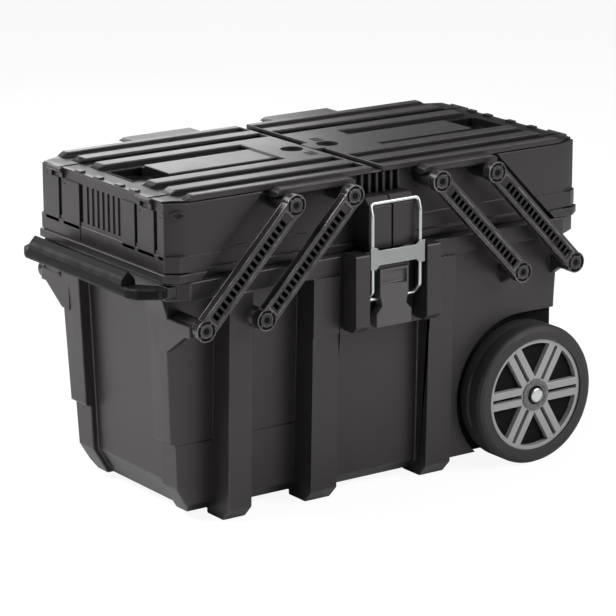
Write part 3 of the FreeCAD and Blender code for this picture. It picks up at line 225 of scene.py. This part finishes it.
def buildPaintedShade(look):
    inputs = [("Top", look["nowhere"]), ("HalfLength", look["halfLength"]), ("HalfDepth", look["halfDepth"])]
    group, given, result = startGroup("paintedRecessShade", inputs, ["Mask"])
    marked = addNode(group, "ShaderNodeAttribute", attribute_name="sunk")
    place = addNode(group, "ShaderNodeTexCoord")
    split = addNode(group, "ShaderNodeSeparateXYZ")
    join(group, place.outputs["Object"], split.inputs[0])
    below = mathNode(group, "SUBTRACT", given.outputs["Top"], split.outputs["Z"])
    low = remap(group, below, *look["drop"], 0, 1)
    for axis, middle, limit in (("X", seam.x, "HalfLength"), ("Y", seam.y, "HalfDepth")):
        off = mathNode(group, "ABSOLUTE", mathNode(group, "SUBTRACT", split.outputs[axis], middle), 0)
        past = mathNode(group, "SUBTRACT", off, given.outputs[limit])
        within = remap(group, past, -look["border"], look["border"], 1, 0)
        low = mathNode(group, "MULTIPLY", low, within)
    join(group, mathNode(group, "MAXIMUM", low, marked.outputs["Fac"]), result.inputs["Mask"])
    return group


grainGroup = buildGrain(grainLook)
edgeGroup = buildEdgeWearAndHighlight(edgeMarkLook)
dustGroup = buildDust(dustLook)
paintedShadeGroup = buildPaintedShade(sunkLook)


def placeGroup(tree, group, **values):
    made = addNode(tree, "ShaderNodeGroup", node_tree=group)
    for label, value in values.items():
        made.inputs[label].default_value = value
    return made


# One recipe for every finish: two close tones, rubbed edges that on the arms are a painted highlight, a
# little dust, painted shade with less shine in sunk places, grain as bump
recipe = {"toneNoise": (0.3, 0.7), "roughNoise": (0.25, 0.75), "sunkShine": 0.15, "dustRough": 0.3}


def finish(name, look):
    material = bpy.data.materials.new(name)
    material.use_nodes = True
    tree = material.node_tree
    shader = tree.nodes["Principled BSDF"]
    shader.inputs["Metallic"].default_value = look.get("metallic", 0.0)
    shader.inputs["Specular Tint"].default_value = (*look["tint"], 1)
    grain = placeGroup(tree, grainGroup, Scale=look["grainScale"], Drift=look["drift"])
    edgeMark = placeGroup(tree, edgeGroup, Scale=look["edgeMarkScale"], Amount=look["edgeMark"])
    dust = placeGroup(tree, dustGroup, Scale=look["dustScale"], Amount=look["dust"])
    tone = remap(tree, grain.outputs["Tone"], *recipe["toneNoise"], 0.0, 1.0)
    colour = blendColours(tree, tone, look["dark"], look["light"])
    colour = blendColours(tree, dust.outputs["Mask"], colour, look["dustColour"])
    # edge wear, and on the arms a painted highlight along the rails
    colour = blendColours(tree, edgeMark.outputs["Mask"], colour, look["wearAndHighlight"])
    # painted shade: sunk faces and the lid grooves blend towards a near-black colour and lose shine
    sunk = placeGroup(tree, paintedShadeGroup, Top=look["sunkTop"])
    depth = mathNode(tree, "MULTIPLY", sunk.outputs["Mask"], look["sunkShade"])
    colour = blendColours(tree, depth, colour, look["paintedShadeColour"])
    join(tree, colour, shader.inputs["Base Color"])
    bright = look["specular"]
    shine = remap(tree, depth, 0, 1, bright, bright * recipe["sunkShine"])
    join(tree, shine, shader.inputs["Specular IOR Level"])
    rough = remap(tree, grain.outputs["Tone"], *recipe["roughNoise"], *look["rough"])
    polished = mathNode(tree, "MULTIPLY", edgeMark.outputs["Mask"], look["polish"])
    dulled = mathNode(tree, "MULTIPLY", dust.outputs["Mask"], recipe["dustRough"])
    rough = mathNode(tree, "SUBTRACT", rough, polished)
    rough = mathNode(tree, "ADD", rough, dulled, True)
    join(tree, rough, shader.inputs["Roughness"])
    bump = addNode(tree, "ShaderNodeBump")
    bump.inputs["Strength"].default_value = look["bump"]
    bump.inputs["Distance"].default_value = look["bumpDepth"] * mm
    join(tree, grain.outputs["Height"], bump.inputs["Height"])
    join(tree, bump.outputs["Normal"], shader.inputs["Normal"])
    return material


plainLook = {
    "dark": (0.0145, 0.0130, 0.0138), "light": (0.0195, 0.0178, 0.0187), "wearAndHighlight": (0.055, 0.052, 0.053),
    "dustColour": (0.10, 0.096, 0.094), "rough": (0.36, 0.46), "polish": 0.10, "edgeMark": 0.45, "edgeMarkScale": 55.0,
    "dust": 0.04, "dustScale": 30.0, "grainScale": 1400.0, "drift": 6.0, "bump": 0.20, "bumpDepth": 0.12,
    # the sunk entries set the painted shade that darkens sunk places
    "specular": 0.5, "tint": (1.0, 0.92, 0.97), "sunkTop": sunkLook["nowhere"], "sunkShade": 0.9,
    "paintedShadeColour": (0.004, 0.004, 0.004),
}
looks = {
    "body_plastic": {},
    # the lid's grooves below sunkTop are darkened with painted shade
    "lid_plastic": {"rough": (0.32, 0.40), "bump": 0.12, "dark": (0.0165, 0.0148, 0.0146),
                    "light": (0.0215, 0.0196, 0.0194), "wearAndHighlight": (0.075, 0.070, 0.069), "sunkTop": 0.404},
    # the arms' light edge colour is a painted highlight along the rails
    "arm_plastic": {"rough": (0.22, 0.30), "wearAndHighlight": (0.30, 0.29, 0.293), "edgeMark": 0.85, "polish": 0.12},
    "grip_plastic": {"rough": (0.50, 0.60), "dark": (0.005, 0.005, 0.0052), "light": (0.008, 0.008, 0.0082),
                     "specular": 0.09, "dust": 0.01},
    "leverPlastic": {"rough": (0.34, 0.44), "dark": (0.054, 0.0500, 0.0530),
                     "light": (0.066, 0.0612, 0.0648)},
    "pin_black": {"rough": (0.38, 0.48), "dark": (0.008, 0.008, 0.008), "light": (0.013, 0.013, 0.013),
                  "grainScale": 2200.0},
    "tyre": {"rough": (0.58, 0.70), "dark": (0.015, 0.0148, 0.0155), "light": (0.022, 0.0218, 0.0225),
             "grainScale": 1000.0, "bump": 0.35, "dust": 0.10, "edgeMark": 0.3},
    "wheel_grey": {"rough": (0.36, 0.46), "dark": (0.235, 0.235, 0.239), "light": (0.285, 0.285, 0.289),
                   "wearAndHighlight": (0.45, 0.45, 0.455), "edgeMark": 0.6, "tint": (1, 1, 1)},
    "hubGrey": {"rough": (0.40, 0.50), "dark": (0.085, 0.085, 0.087), "light": (0.11, 0.11, 0.112),
                "wearAndHighlight": (0.26, 0.26, 0.265), "edgeMark": 0.7, "tint": (1, 1, 1)},
    "latch_steel": {"metallic": 1.0, "rough": (0.24, 0.36), "dark": (0.48, 0.50, 0.49),
                    "light": (0.58, 0.60, 0.59), "wearAndHighlight": (0.76, 0.77, 0.76), "grainScale": 2600.0,
                    "bump": 0.08, "dust": 0.03, "tint": (1, 1, 1)},
    "stampedSteel": {"metallic": 1.0, "rough": (0.38, 0.50), "dark": (0.26, 0.275, 0.27),
                     "light": (0.33, 0.345, 0.34), "wearAndHighlight": (0.55, 0.57, 0.56), "grainScale": 2000.0,
                     "bump": 0.12, "edgeMark": 0.7, "tint": (1, 1, 1)},
    "dark_steel": {"rough": (0.34, 0.44), "dark": (0.016, 0.016, 0.017), "light": (0.022, 0.022, 0.023),
                   "wearAndHighlight": (0.10, 0.10, 0.10), "grainScale": 1800.0},
    # near-black for pieces that stand in for shade
    "paintedShadeBlack": {"rough": (0.75, 0.85), "dark": (0.004, 0.004, 0.004), "light": (0.006, 0.006, 0.006),
                  "specular": 0.10, "dust": 0.0, "edgeMark": 0.0},
}
finishes = {slot: finish(slot, {**plainLook, **look}) for slot, look in looks.items()}
print("finishes made,", len(finishes))


# Softened copies of the CAD solids
soften = {"weld": 0.00001, "flat": 0.4, "sharp": 26.0, "shading": 32.0, "segments": 2, "faceRoom": 2.1,
          "edgeRoom": 1.15}

# the ribs beside the seam at the rear keep sharp edges
rearRibs = {"halfLength": 48.0, "behind": 100.0, "above": 350.0, "below": 396.2}


def besideRearRibs(point, look):
    off = (point - seam) / mm
    high = look["above"] < off.z < look["below"]
    return high and abs(off.x) < look["halfLength"] and off.y > look["behind"]


def roundEdges(work, radius):
    strip = work.faces.layers.float.get("edge") or work.faces.layers.float.new("edge")
    sunk = work.faces.layers.float.get("sunk")
    chosen = []
    for edge in work.edges:
        if len(edge.link_faces) != 2 or edge.calc_face_angle(0) < math.radians(soften["sharp"]):
            continue
        if any(face[strip] or (sunk and face[sunk] == ladder["pocketShade"]) for face in edge.link_faces):
            continue
        if any(besideRearRibs(vert.co, rearRibs) for vert in edge.verts):
            continue
        widths = [2 * face.calc_area() / face.calc_perimeter() for face in edge.link_faces]
        nearby = [other.calc_length() for vert in edge.verts for other in vert.link_edges]
        if min(widths) > radius * soften["faceRoom"] and min(nearby) > radius * soften["edgeRoom"]:
            chosen.append(edge)
    if not chosen:
        return
    made = bmesh.ops.bevel(work, geom=chosen, offset=radius, offset_type="OFFSET",
                           segments=soften["segments"], profile=roundProfile, affect="EDGES",
                           clamp_overlap=False, material=-1)
    for face in made["faces"]:
        face[strip] = 1.0


def mergedCopy(node):
    work = bmesh.new()
    work.from_mesh(frame["nodes"][node].data)
    bmesh.ops.remove_doubles(work, verts=work.verts, dist=soften["weld"])
    bmesh.ops.dissolve_limit(work, angle_limit=math.radians(soften["flat"]), verts=work.verts,
                             edges=work.edges)
    return work


def keepPiece(work, name, body, slot, replaced=(), look=None):
    mesh = bpy.data.meshes.new(name)
    work.to_mesh(mesh)
    work.free()
    for face in mesh.polygons:
        face.use_smooth = True
    mesh.set_sharp_from_angle(angle=math.radians(soften["shading"]))
    piece = bpy.data.objects.new(name, mesh)
    bpy.context.scene.collection.objects.link(piece)
    piece.data.materials.append(finishes[look or slot])
    flatter = piece.modifiers.new("flatFaces", "WEIGHTED_NORMAL")
    flatter.keep_sharp = True
    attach(piece, body)
    if replaced:
        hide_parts(*replaced)


# the channel between an arm's rails, with its pockets, is marked as sunk, to be darkened with painted shade
ladder = {"channelHalf": 7.7, "hubClear": 13.0, "floorDepth": 0.9, "pocketDepth": 2.0, "backDepth": 11.0,
          "floorShade": 0.5, "pocketShade": 1.0}
jointPlace = {row["name"]: Vector(row["pos_m"]) for row in record["behaviour"]["joints"] if "pos_m" in row}


def armEnds(side, arm):
    low, high = jointPlace[side + "_tray_swing"], jointPlace[side + "_tray_level"]
    if arm == "inner":
        shift = jointPlace[side + "_inner_arm_swing"] - low
        return low + shift, high + shift
    return low, high


def markLadder(work, node, look):
    side, arm, face = node.split("_")[:3]
    low, high = armEnds(side, arm)
    boxLow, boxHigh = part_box(node)
    along = Vector((high.x - low.x, 0, high.z - low.z))
    length = along.length
    along.normalize()
    sunk = work.faces.layers.float.new("sunk")
    for item in work.faces:
        middle = item.calc_center_median()
        depth = middle.y - boxLow.y if face == "front" else boxHigh.y - middle.y
        off = Vector((middle.x - low.x, 0, middle.z - low.z))
        run = off.dot(along)
        aside = (off - along * run).length
        inside = look["hubClear"] * mm < run < length - look["hubClear"] * mm
        if not inside or aside > look["channelHalf"] * mm or depth > look["backDepth"] * mm:
            continue
        if depth > look["pocketDepth"] * mm:
            item[sunk] = look["pocketShade"]
        elif depth > look["floorDepth"] * mm:
            item[sunk] = look["floorShade"]


# two nodes have a finish of their own within their slot
ownLook = {"latch_bail_plate": "stampedSteel", "latch_lever": "leverPlastic"}


def softCopy(node, radii):
    work = mergedCopy(node)
    if node.endswith("_arm"):
        markLadder(work, node, ladder)
    for radius in radii:
        roundEdges(work, radius * mm)
    keepPiece(work, node + "_finished", bodyOf[node], slotOf[node], [node], ownLook.get(node))


# edge radii in millimetres, widest first: narrow faces take the smaller ones
armRadii = (1.3, 0.6, 0.3)
edgeRadii = {
    "bin_shell": (1.8, 0.8, 0.4),
    "left_tray": (1.2, 0.6, 0.3), "right_tray": (1.2, 0.6, 0.3),
    "left_lid": (1.0, 0.5), "right_lid": (1.0, 0.5),
    "left_catch": (1.2, 0.5), "right_catch": (1.2, 0.5),
    "handle_grip": (5.0, 2.5, 1.0), "handle_tubes": (0.4,),
    "latch_lever": (1.4, 0.6), "latch_bracket": (0.5,),
    "latch_bail_plate": (0.4,),
    "front_wheel_rim": (0.8, 0.4), "rear_wheel_rim": (0.8, 0.4),
    "axle_caps": (0.4, 0.2), "axle": (0.3,), "latch_bail": (), "latch_lever_pin": (0.2,),
    "front_tyre": (1.6, 0.7), "rear_tyre": (1.6, 0.7),
    "lower_pivot_pins": (0.3,), "left_upper_pivot_pins": (0.3,), "right_upper_pivot_pins": (0.3,),
}
for node in frame["nodes"]:
    if node.endswith("_arm"):
        edgeRadii[node] = armRadii
for node, radii in edgeRadii.items():
    softCopy(node, radii)
print("solids softened,", len(edgeRadii))


# the CAD nodes that no copy replaces keep their own shape
for node, solid in frame["nodes"].items():
    solid.data.materials.clear()
    solid.data.materials.append(finishes[slotOf[node]])


# Small pieces: a rounded block between two corners, given in millimetres from the seam
def block(work, low, high, radius):
    low, high = seam + Vector(low) * mm, seam + Vector(high) * mm
    place = Matrix.Translation((low + high) / 2) @ Matrix.Diagonal((*(high - low), 1))
    made = bmesh.ops.create_cube(work, size=1, matrix=place)
    edges = list({edge for vert in made["verts"] for edge in vert.link_edges})
    bmesh.ops.bevel(work, geom=edges, offset=radius * mm, segments=soften["segments"], profile=roundProfile,
                    affect="EDGES", material=-1)


# a closed profile of radius and place, spun about the axle line
def turned(work, profile, centre, steps):
    verts = [work.verts.new(centre + Vector((radius, place, 0))) for radius, place in profile]
    edges = [work.edges.new(pair) for pair in zip(verts, verts[1:] + verts[:1])]
    bmesh.ops.spin(work, geom=verts + edges, cent=centre, axis=(0, 1, 0), angle=math.tau, steps=steps,
                   use_merge=True, use_duplicate=False)
    bmesh.ops.remove_doubles(work, verts=work.verts, dist=soften["weld"])
    bmesh.ops.recalc_face_normals(work, faces=work.faces)


# Wheels: a dark disc of painted shade behind the spokes, a notched hub plate and a dark ring of painted shade
# under the cap
wheelLook = {
    "shadeDiscIn": 20.6, "shadeDiscOut": 65.8, "shadeDiscPlace": 10.9, "shadeDiscSwell": 0.9, "swellShare": 0.2,
    "shadeDiscThick": 0.5, "plateRadius": 20.0, "plateNotch": 2.4, "notches": 6, "notchPower": 6,
    "platePlace": 3.0, "plateRise": 1.7, "plateEdge": 0.5, "plateInset": 4.0, "sinkEdge": 0.4,
    "plateSink": 0.6, "plateCorners": 72, "reach": 0.1, "steps": 96,
    "shadeRingIn": 9.4, "shadeRingOut": 11.8, "shadeRingRise": 0.4,
}


# a near-black disc behind the spokes, painted shade for the recess between them
def addShadeDisc(name, centre, inward, look):
    near = look["shadeDiscPlace"] * inward * mm
    swell = near - look["shadeDiscSwell"] * inward * mm
    back = near + look["shadeDiscThick"] * inward * mm
    inner, outer = look["shadeDiscIn"] * mm, look["shadeDiscOut"] * mm
    slope = (outer - inner) * look["swellShare"]
    work = bmesh.new()
    turned(work, [(inner, near), (inner + slope, swell), (outer - slope, swell), (outer, near), (outer, back),
                  (inner, back)], centre, look["steps"])
    keepPiece(work, name + "WheelShadeDisc", name + "_wheel", "pin_black", look="paintedShadeBlack")


def addHubPlate(name, centre, inward, look):
    work = bmesh.new()
    ring = []
    for step in range(look["plateCorners"]):
        angle = math.tau * step / look["plateCorners"]
        dip = max(0.0, math.cos(look["notches"] * angle)) ** look["notchPower"] * look["plateNotch"]
        radius = (look["plateRadius"] - dip) * mm
        place = look["platePlace"] * inward * mm
        corner = centre + Vector((radius * math.cos(angle), place, radius * math.sin(angle)))
        ring.append(work.verts.new(corner))
    plate = work.faces.new(ring)
    raised = bmesh.ops.extrude_face_region(work, geom=[plate])["geom"]
    lifted = [item for item in raised if isinstance(item, bmesh.types.BMVert)]
    bmesh.ops.translate(work, verts=lifted, vec=(0, -look["plateRise"] * inward * mm, 0))
    top = next(item for item in raised if isinstance(item, bmesh.types.BMFace))
    bmesh.ops.bevel(work, geom=list(top.edges), offset=look["plateEdge"] * mm, segments=soften["segments"],
                    profile=roundProfile, affect="EDGES", material=-1)
    nearFace = (look["platePlace"] - look["plateRise"] + look["reach"]) * mm
    outermost = [item for item in work.faces if abs(item.calc_center_median().y - centre.y) < nearFace]
    top = max(outermost, key=lambda item: item.calc_area())
    bmesh.ops.inset_region(work, faces=[top], thickness=look["plateInset"] * mm)
    bmesh.ops.inset_region(work, faces=[top], thickness=look["sinkEdge"] * mm, depth=-look["plateSink"] * mm)
    bmesh.ops.recalc_face_normals(work, faces=work.faces)
    keepPiece(work, name + "HubPlate", name + "_wheel", "wheel_grey", look="hubGrey")


# a near-black ring under the cap, painted shade for the gap around it
def addCapShadeRing(name, centre, inward, look):
    work = bmesh.new()
    seat = (look["platePlace"] - look["plateRise"] + look["plateSink"]) * inward * mm
    lift = seat - look["shadeRingRise"] * inward * mm
    inner, outer = look["shadeRingIn"] * mm, look["shadeRingOut"] * mm
    turned(work, [(inner, seat), (inner, lift), (outer, lift), (outer, seat)], centre, look["steps"])
    keepPiece(work, name + "CapShadeRing", name + "_wheel", "pin_black", look="paintedShadeBlack")


def dressWheel(name, inward, look):
    low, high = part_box(name + "_tyre")
    face = low.y if inward > 0 else high.y
    centre = Vector(((low.x + high.x) / 2, face, (low.z + high.z) / 2))
    addShadeDisc(name, centre, inward, look)
    addHubPlate(name, centre, inward, look)
    addCapShadeRing(name, centre, inward, look)


dressWheel("front", 1, wheelLook)
dressWheel("rear", -1, wheelLook)
print("wheels dressed")


# Tabs along the outer end of each lid, and a row of finger ridges on its top
lidLook = {
    "wall": 301.0, "tabPlaces": (57, 14, -33, -66), "tabLength": 13.0, "tabReach": 8.0, "tabRoot": 0.6,
    "tabHeight": 2.2, "tabEdge": 0.6, "endHeight": 398.4, "topHeight": 404.0, "ridgeCount": 4,
    "ridgePitch": 4.2, "ridgeWidth": 1.8, "ridgeLength": 12.0, "ridgeRoot": 0.5, "ridgeHeight": 0.7,
    "ridgeEdge": 0.3, "ridgeRow": {-1: -30.0, 1: 20.0}, "ridgeStart": {-1: -32.0, 1: 16.0},
}


def dressLid(name, side, look):
    work = bmesh.new()
    outer = look["wall"] * side
    near, far = sorted((outer, outer - look["tabReach"] * side))
    half = look["tabLength"] / 2
    for place in look["tabPlaces"]:
        middle = -place * side
        block(work, (near, middle - half, look["endHeight"] - look["tabRoot"]),
              (far, middle + half, look["endHeight"] + look["tabHeight"]), look["tabEdge"])
    row = look["ridgeRow"][side]
    long, wide = look["ridgeLength"] / 2, look["ridgeWidth"] / 2
    for step in range(look["ridgeCount"]):
        middle = look["ridgeStart"][side] + look["ridgePitch"] * step * side
        block(work, (row - long, middle - wide, look["topHeight"] - look["ridgeRoot"]),
              (row + long, middle + wide, look["topHeight"] + look["ridgeHeight"]), look["ridgeEdge"])
    keepPiece(work, name + "LidTabs", name + "_lid", "lid_plastic")


dressLid("left", -1, lidLook)
dressLid("right", 1, lidLook)


# an outline of points pushed along a vector, with its edges rounded
def pushed(work, points, push, radius):
    face = work.faces.new([work.verts.new(point) for point in points])
    made = bmesh.ops.extrude_face_region(work, geom=[face])["geom"]
    verts = [item for item in made if isinstance(item, bmesh.types.BMVert)]
    bmesh.ops.translate(work, verts=verts, vec=push)
    edges = list({edge for vert in verts + list(face.verts) for edge in vert.link_edges})
    bmesh.ops.recalc_face_normals(work, faces=work.faces)
    if radius:
        bmesh.ops.bevel(work, geom=edges, offset=radius, segments=soften["segments"], profile=roundProfile,
                        affect="EDGES", material=-1)


# Tongue of the right lid, lying over the flange of the left one
tongue = {"front": -23.0, "rear": 11.0, "reach": -12.6, "root": 3.0, "bottom": 398.9, "top": 404.3,
          "corner": 5.0, "bulge": 0.3, "edge": 0.6}


def addTongue(look):
    work = bmesh.new()
    front, rear, reach, root = look["front"], look["rear"], look["reach"], look["root"]
    cut = look["corner"]
    mid = cut * look["bulge"]
    plan = [(root, front), (reach + cut, front), (reach + mid, front + mid), (reach, front + cut),
            (reach, rear - cut), (reach + mid, rear - mid), (reach + cut, rear), (root, rear)]
    points = [seam + Vector((x, y, look["bottom"])) * mm for x, y in plan]
    pushed(work, points, Vector((0, 0, look["top"] - look["bottom"])) * mm, look["edge"] * mm)
    keepPiece(work, "rightLidTongue", "right_lid", "lid_plastic")


addTongue(tongue)
print("lids dressed")


# Raised panels on the end wall of each tray, some with a corner cut out at the top
endWall = {"panels": ((99.0, 131.0, False), (51.5, 89.5, True), (-73.0, -45.5, False), (-115.0, -79.5, True),
                      (-136.0, -123.5, True)),
           "wall": 301.0, "proud": 1.5, "root": 0.6, "bottom": 329.5, "top": 385.5, "cutWide": 8.0,
           "cutHigh": 6.0, "edge": 0.5}


def addEndPanels(side, look):
    work = bmesh.new()
    place = (look["wall"] - look["root"]) * side
    bottom, top = look["bottom"], look["top"]
    step = top - look["cutHigh"]
    for low, high, notched in look["panels"]:
        inner = high - look["cutWide"]
        corner = [(high, step), (inner, step), (inner, top)] if notched else [(high, top)]
        outline = [(low, bottom), (high, bottom), *corner, (low, top)]
        points = [seam + Vector((place, -y * side, z)) * mm for y, z in outline]
        pushed(work, points, Vector(((look["root"] + look["proud"]) * side * mm, 0, 0)), look["edge"] * mm)
    name = "left" if side < 0 else "right"
    keepPiece(work, name + "EndPanels", name + "_tray", "body_plastic")


addEndPanels(-1, endWall)
addEndPanels(1, endWall)


# Eye on the chamfered corner of the left tray
eye = {"middle": (-288.0, -143.0, 383.0), "outward": (-0.419, -0.908, 0.0), "half": (7.2, 3.6), "wire": 1.3,
       "sides": 10, "steps": 40}


def addEye(look):
    work = bmesh.new()
    aside = Matrix.Translation((look["half"][0] * mm, 0, 0)) @ Matrix.Rotation(math.pi / 2, 4, "X")
    made = bmesh.ops.create_circle(work, cap_ends=False, segments=look["sides"], radius=look["wire"] * mm,
                                   matrix=aside)
    bmesh.ops.spin(work, geom=made["verts"] + list(work.edges), cent=(0, 0, 0), axis=(0, 0, 1),
                   angle=math.tau, steps=look["steps"], use_merge=True, use_duplicate=False)
    bmesh.ops.remove_doubles(work, verts=work.verts, dist=soften["weld"])
    bmesh.ops.recalc_face_normals(work, faces=work.faces)
    up, outward = Vector((0, 0, 1)), Vector(look["outward"])
    turn = Matrix((up.cross(outward), up, outward)).transposed().to_4x4()
    flat = Matrix.Diagonal((1, look["half"][1] / look["half"][0], 1, 1))
    place = Matrix.Translation(seam + Vector(look["middle"]) * mm)
    bmesh.ops.transform(work, matrix=place @ turn @ flat, verts=work.verts)
    keepPiece(work, "cornerEye", "left_tray", "body_plastic")


addEye(eye)
print("end walls dressed")


# Guard blocks beside the latch
guard = {"inner": 42.0, "outer": 63.0, "face": -178.0, "back": -151.0, "bottom": 213.0, "top": 308.2,
         "slope": 7.0, "topCut": 2.0, "edge": 1.2}


def addGuards(look):
    work = bmesh.new()
    face, back, bottom, top = look["face"], look["back"], look["bottom"], look["top"]
    outline = [(back, bottom), (face + look["slope"], bottom), (face, bottom + look["slope"]),
               (face, top - look["topCut"]), (face + look["topCut"], top), (back, top)]
    for side in (-1, 1):
        start = look["inner"] * side
        points = [seam + Vector((start, y, z)) * mm for y, z in outline]
        pushed(work, points, Vector(((look["outer"] - look["inner"]) * side, 0, 0)) * mm, look["edge"] * mm)
    keepPiece(work, "latchGuards", "bin", "body_plastic")


addGuards(guard)
print("guards placed")


# Arm hubs: four dark arcs of painted shade in the ring groove and a dark disc of painted shade standing for
# the socket in the pin's head
hub = {"inner": 8.5, "outer": 11.6, "floor": 1.4, "rise": 0.35, "arcs": 4, "share": 0.78, "steps": 8,
       "socket": 3.9, "headDepth": 0.4, "socketRise": 0.2, "socketSteps": 24}


def dressHub(work, middle, lean, sign, look):
    def spot(radius, angle, depth):
        return middle + Vector((radius * math.cos(angle), depth * sign, radius * math.sin(angle))) * mm

    half = math.pi / look["arcs"] * look["share"]
    for step in range(look["arcs"]):
        start = lean + math.tau * (step + 0.5) / look["arcs"] - half
        angles = [start + 2 * half * part / look["steps"] for part in range(look["steps"] + 1)]
        points = [spot(look["outer"], angle, look["floor"]) for angle in angles]
        points += [spot(look["inner"], angle, look["floor"]) for angle in reversed(angles)]
        pushed(work, points, Vector((0, -look["rise"] * sign * mm, 0)), 0)
    angles = [math.tau * part / look["socketSteps"] for part in range(look["socketSteps"])]
    points = [spot(look["socket"], angle, look["headDepth"]) for angle in angles]
    pushed(work, points, Vector((0, -look["socketRise"] * sign * mm, 0)), 0)


def dressHubs(side, arm, look):
    work = bmesh.new()
    low, high = armEnds(side, arm)
    lean = math.atan2(high.z - low.z, high.x - low.x)
    for face, sign in (("front", 1), ("rear", -1)):
        boxLow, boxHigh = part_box("_".join((side, arm, face, "arm")))
        front = boxLow.y if sign > 0 else boxHigh.y
        for end in (low, high):
            dressHub(work, Vector((end.x, front, end.z)), lean, sign, look)
    name = side + arm.title() + "ArmHubs"
    keepPiece(work, name, side + "_" + arm + "_arms", "arm_plastic", look="paintedShadeBlack")


for side in ("left", "right"):
    for arm in ("outer", "inner"):
        dressHubs(side, arm, hub)
print("hubs dressed")


# Painted shade: a dark sheet inside each wheel arch, behind the tyre
arch = {"centre": (215.7, 89.0), "inner": 66.0, "outer": 99.0, "face": 130.8, "thick": 2.0, "end": 270.0,
        "top": 188.0, "bottom": 18.7, "bottomTurn": 240.0, "steps": 40}


def addArchShadeSheets(look):
    across, up = look["centre"]

    def spot(radius, turn):
        return across + radius * math.cos(turn), up + radius * math.sin(turn)

    work = bmesh.new()
    start = math.acos((look["end"] - across) / look["inner"])
    stop = math.radians(look["bottomTurn"])
    angles = [start + (stop - start) * step / look["steps"] for step in range(look["steps"] + 1)]
    inside = [spot(look["inner"], turn) for turn in angles]
    outside = [spot(look["outer"], turn) for turn in reversed(angles) if turn > math.pi / 2]
    outside = [(x, max(look["bottom"], z)) for x, z in outside]
    outline = inside + outside + [(across, look["top"]), (look["end"], look["top"])]
    for sign in (-1, 1):
        points = [seam + Vector((x, look["face"] * sign, z)) * mm for x, z in outline]
        pushed(work, points, Vector((0, -look["thick"] * sign * mm, 0)), 0)
    keepPiece(work, "archShadeSheets", "bin", "body_plastic", look="paintedShadeBlack")


addArchShadeSheets(arch)
print("arches closed")


# Stage: a pale floor that stays white to the eye and keeps the shadow
stageLook = {"half": 16.0, "colour": (0.86, 0.86, 0.86), "rough": 0.9, "gloss": 0.0, "showWhite": 0.86,
             "whiteLevel": 1.06, "ambient": 0.20}


def seenDirectly(tree):
    path = addNode(tree, "ShaderNodeLightPath")
    return mathNode(tree, "MAXIMUM", path.outputs["Is Camera Ray"], path.outputs["Is Transmission Ray"])


def buildFloor(look):
    work = bmesh.new()
    bmesh.ops.create_grid(work, x_segments=1, y_segments=1, size=look["half"])
    mesh = bpy.data.meshes.new("floor")
    work.to_mesh(mesh)
    work.free()
    floor = bpy.data.objects.new("floor", mesh)
    bpy.context.scene.collection.objects.link(floor)
    material = bpy.data.materials.new("paleFloor")
    material.use_nodes = True
    tree = material.node_tree
    shader = tree.nodes["Principled BSDF"]
    shader.inputs["Base Color"].default_value = (*look["colour"], 1)
    shader.inputs["Roughness"].default_value = look["rough"]
    shader.inputs["Specular IOR Level"].default_value = look["gloss"]
    glow = addNode(tree, "ShaderNodeEmission")
    glow.inputs["Strength"].default_value = look["whiteLevel"]
    mixed = addNode(tree, "ShaderNodeMixShader")
    join(tree, mathNode(tree, "MULTIPLY", seenDirectly(tree), look["showWhite"]), mixed.inputs[0])
    join(tree, shader.outputs[0], mixed.inputs[1])
    join(tree, glow.outputs[0], mixed.inputs[2])
    join(tree, mixed.outputs[0], tree.nodes["Material Output"].inputs["Surface"])
    mesh.materials.append(material)


def buildWorld(look):
    world = bpy.data.worlds.new("studio")
    bpy.context.scene.world = world
    world.use_nodes = True
    tree = world.node_tree
    sky = tree.nodes["Background"]
    strength = remap(tree, seenDirectly(tree), 0, 1, look["ambient"], 1.0)
    join(tree, strength, sky.inputs["Strength"])
    sky.inputs["Color"].default_value = (1, 1, 1, 1)


# Soft boxes: where each stands, what it looks at, its size and power
softBoxes = {
    "keyLeft": {"place": (-1.5, 0.35, 2.0), "aim": (0, 0, 0.2), "size": (0.8, 0.8), "power": 42.0},
    "backGloss": {"place": (0.75, 2.2, 1.05), "aim": (0, 0, 0.4), "size": (1.3, 0.7), "power": 11.0},
    "frontRight": {"place": (0.9, -1.5, 1.35), "aim": (0.40, -0.60, 0.25), "size": (1.3, 1.3), "power": 34.0},
    "backLeft": {"place": (-1.1, 1.3, 1.2), "aim": (-0.7, 0.6, 0), "size": (1.1, 1.1), "power": 21.0},
}


def buildLights(boxes):
    for name, look in boxes.items():
        data = bpy.data.lights.new(name, "AREA")
        data.shape = "RECTANGLE"
        data.size, data.size_y = look["size"]
        data.energy = look["power"]
        lamp = bpy.data.objects.new(name, data)
        lamp.location = look["place"]
        lamp.rotation_mode = "QUATERNION"
        lamp.rotation_quaternion = (Vector(look["aim"]) - Vector(look["place"])).to_track_quat("-Z", "Y")
        lamp.visible_camera = False
        bpy.context.scene.collection.objects.link(lamp)


buildFloor(stageLook)
buildWorld(stageLook)
buildLights(softBoxes)
bpy.context.scene.view_settings.view_transform = "Standard"
print("stage and lights placed")
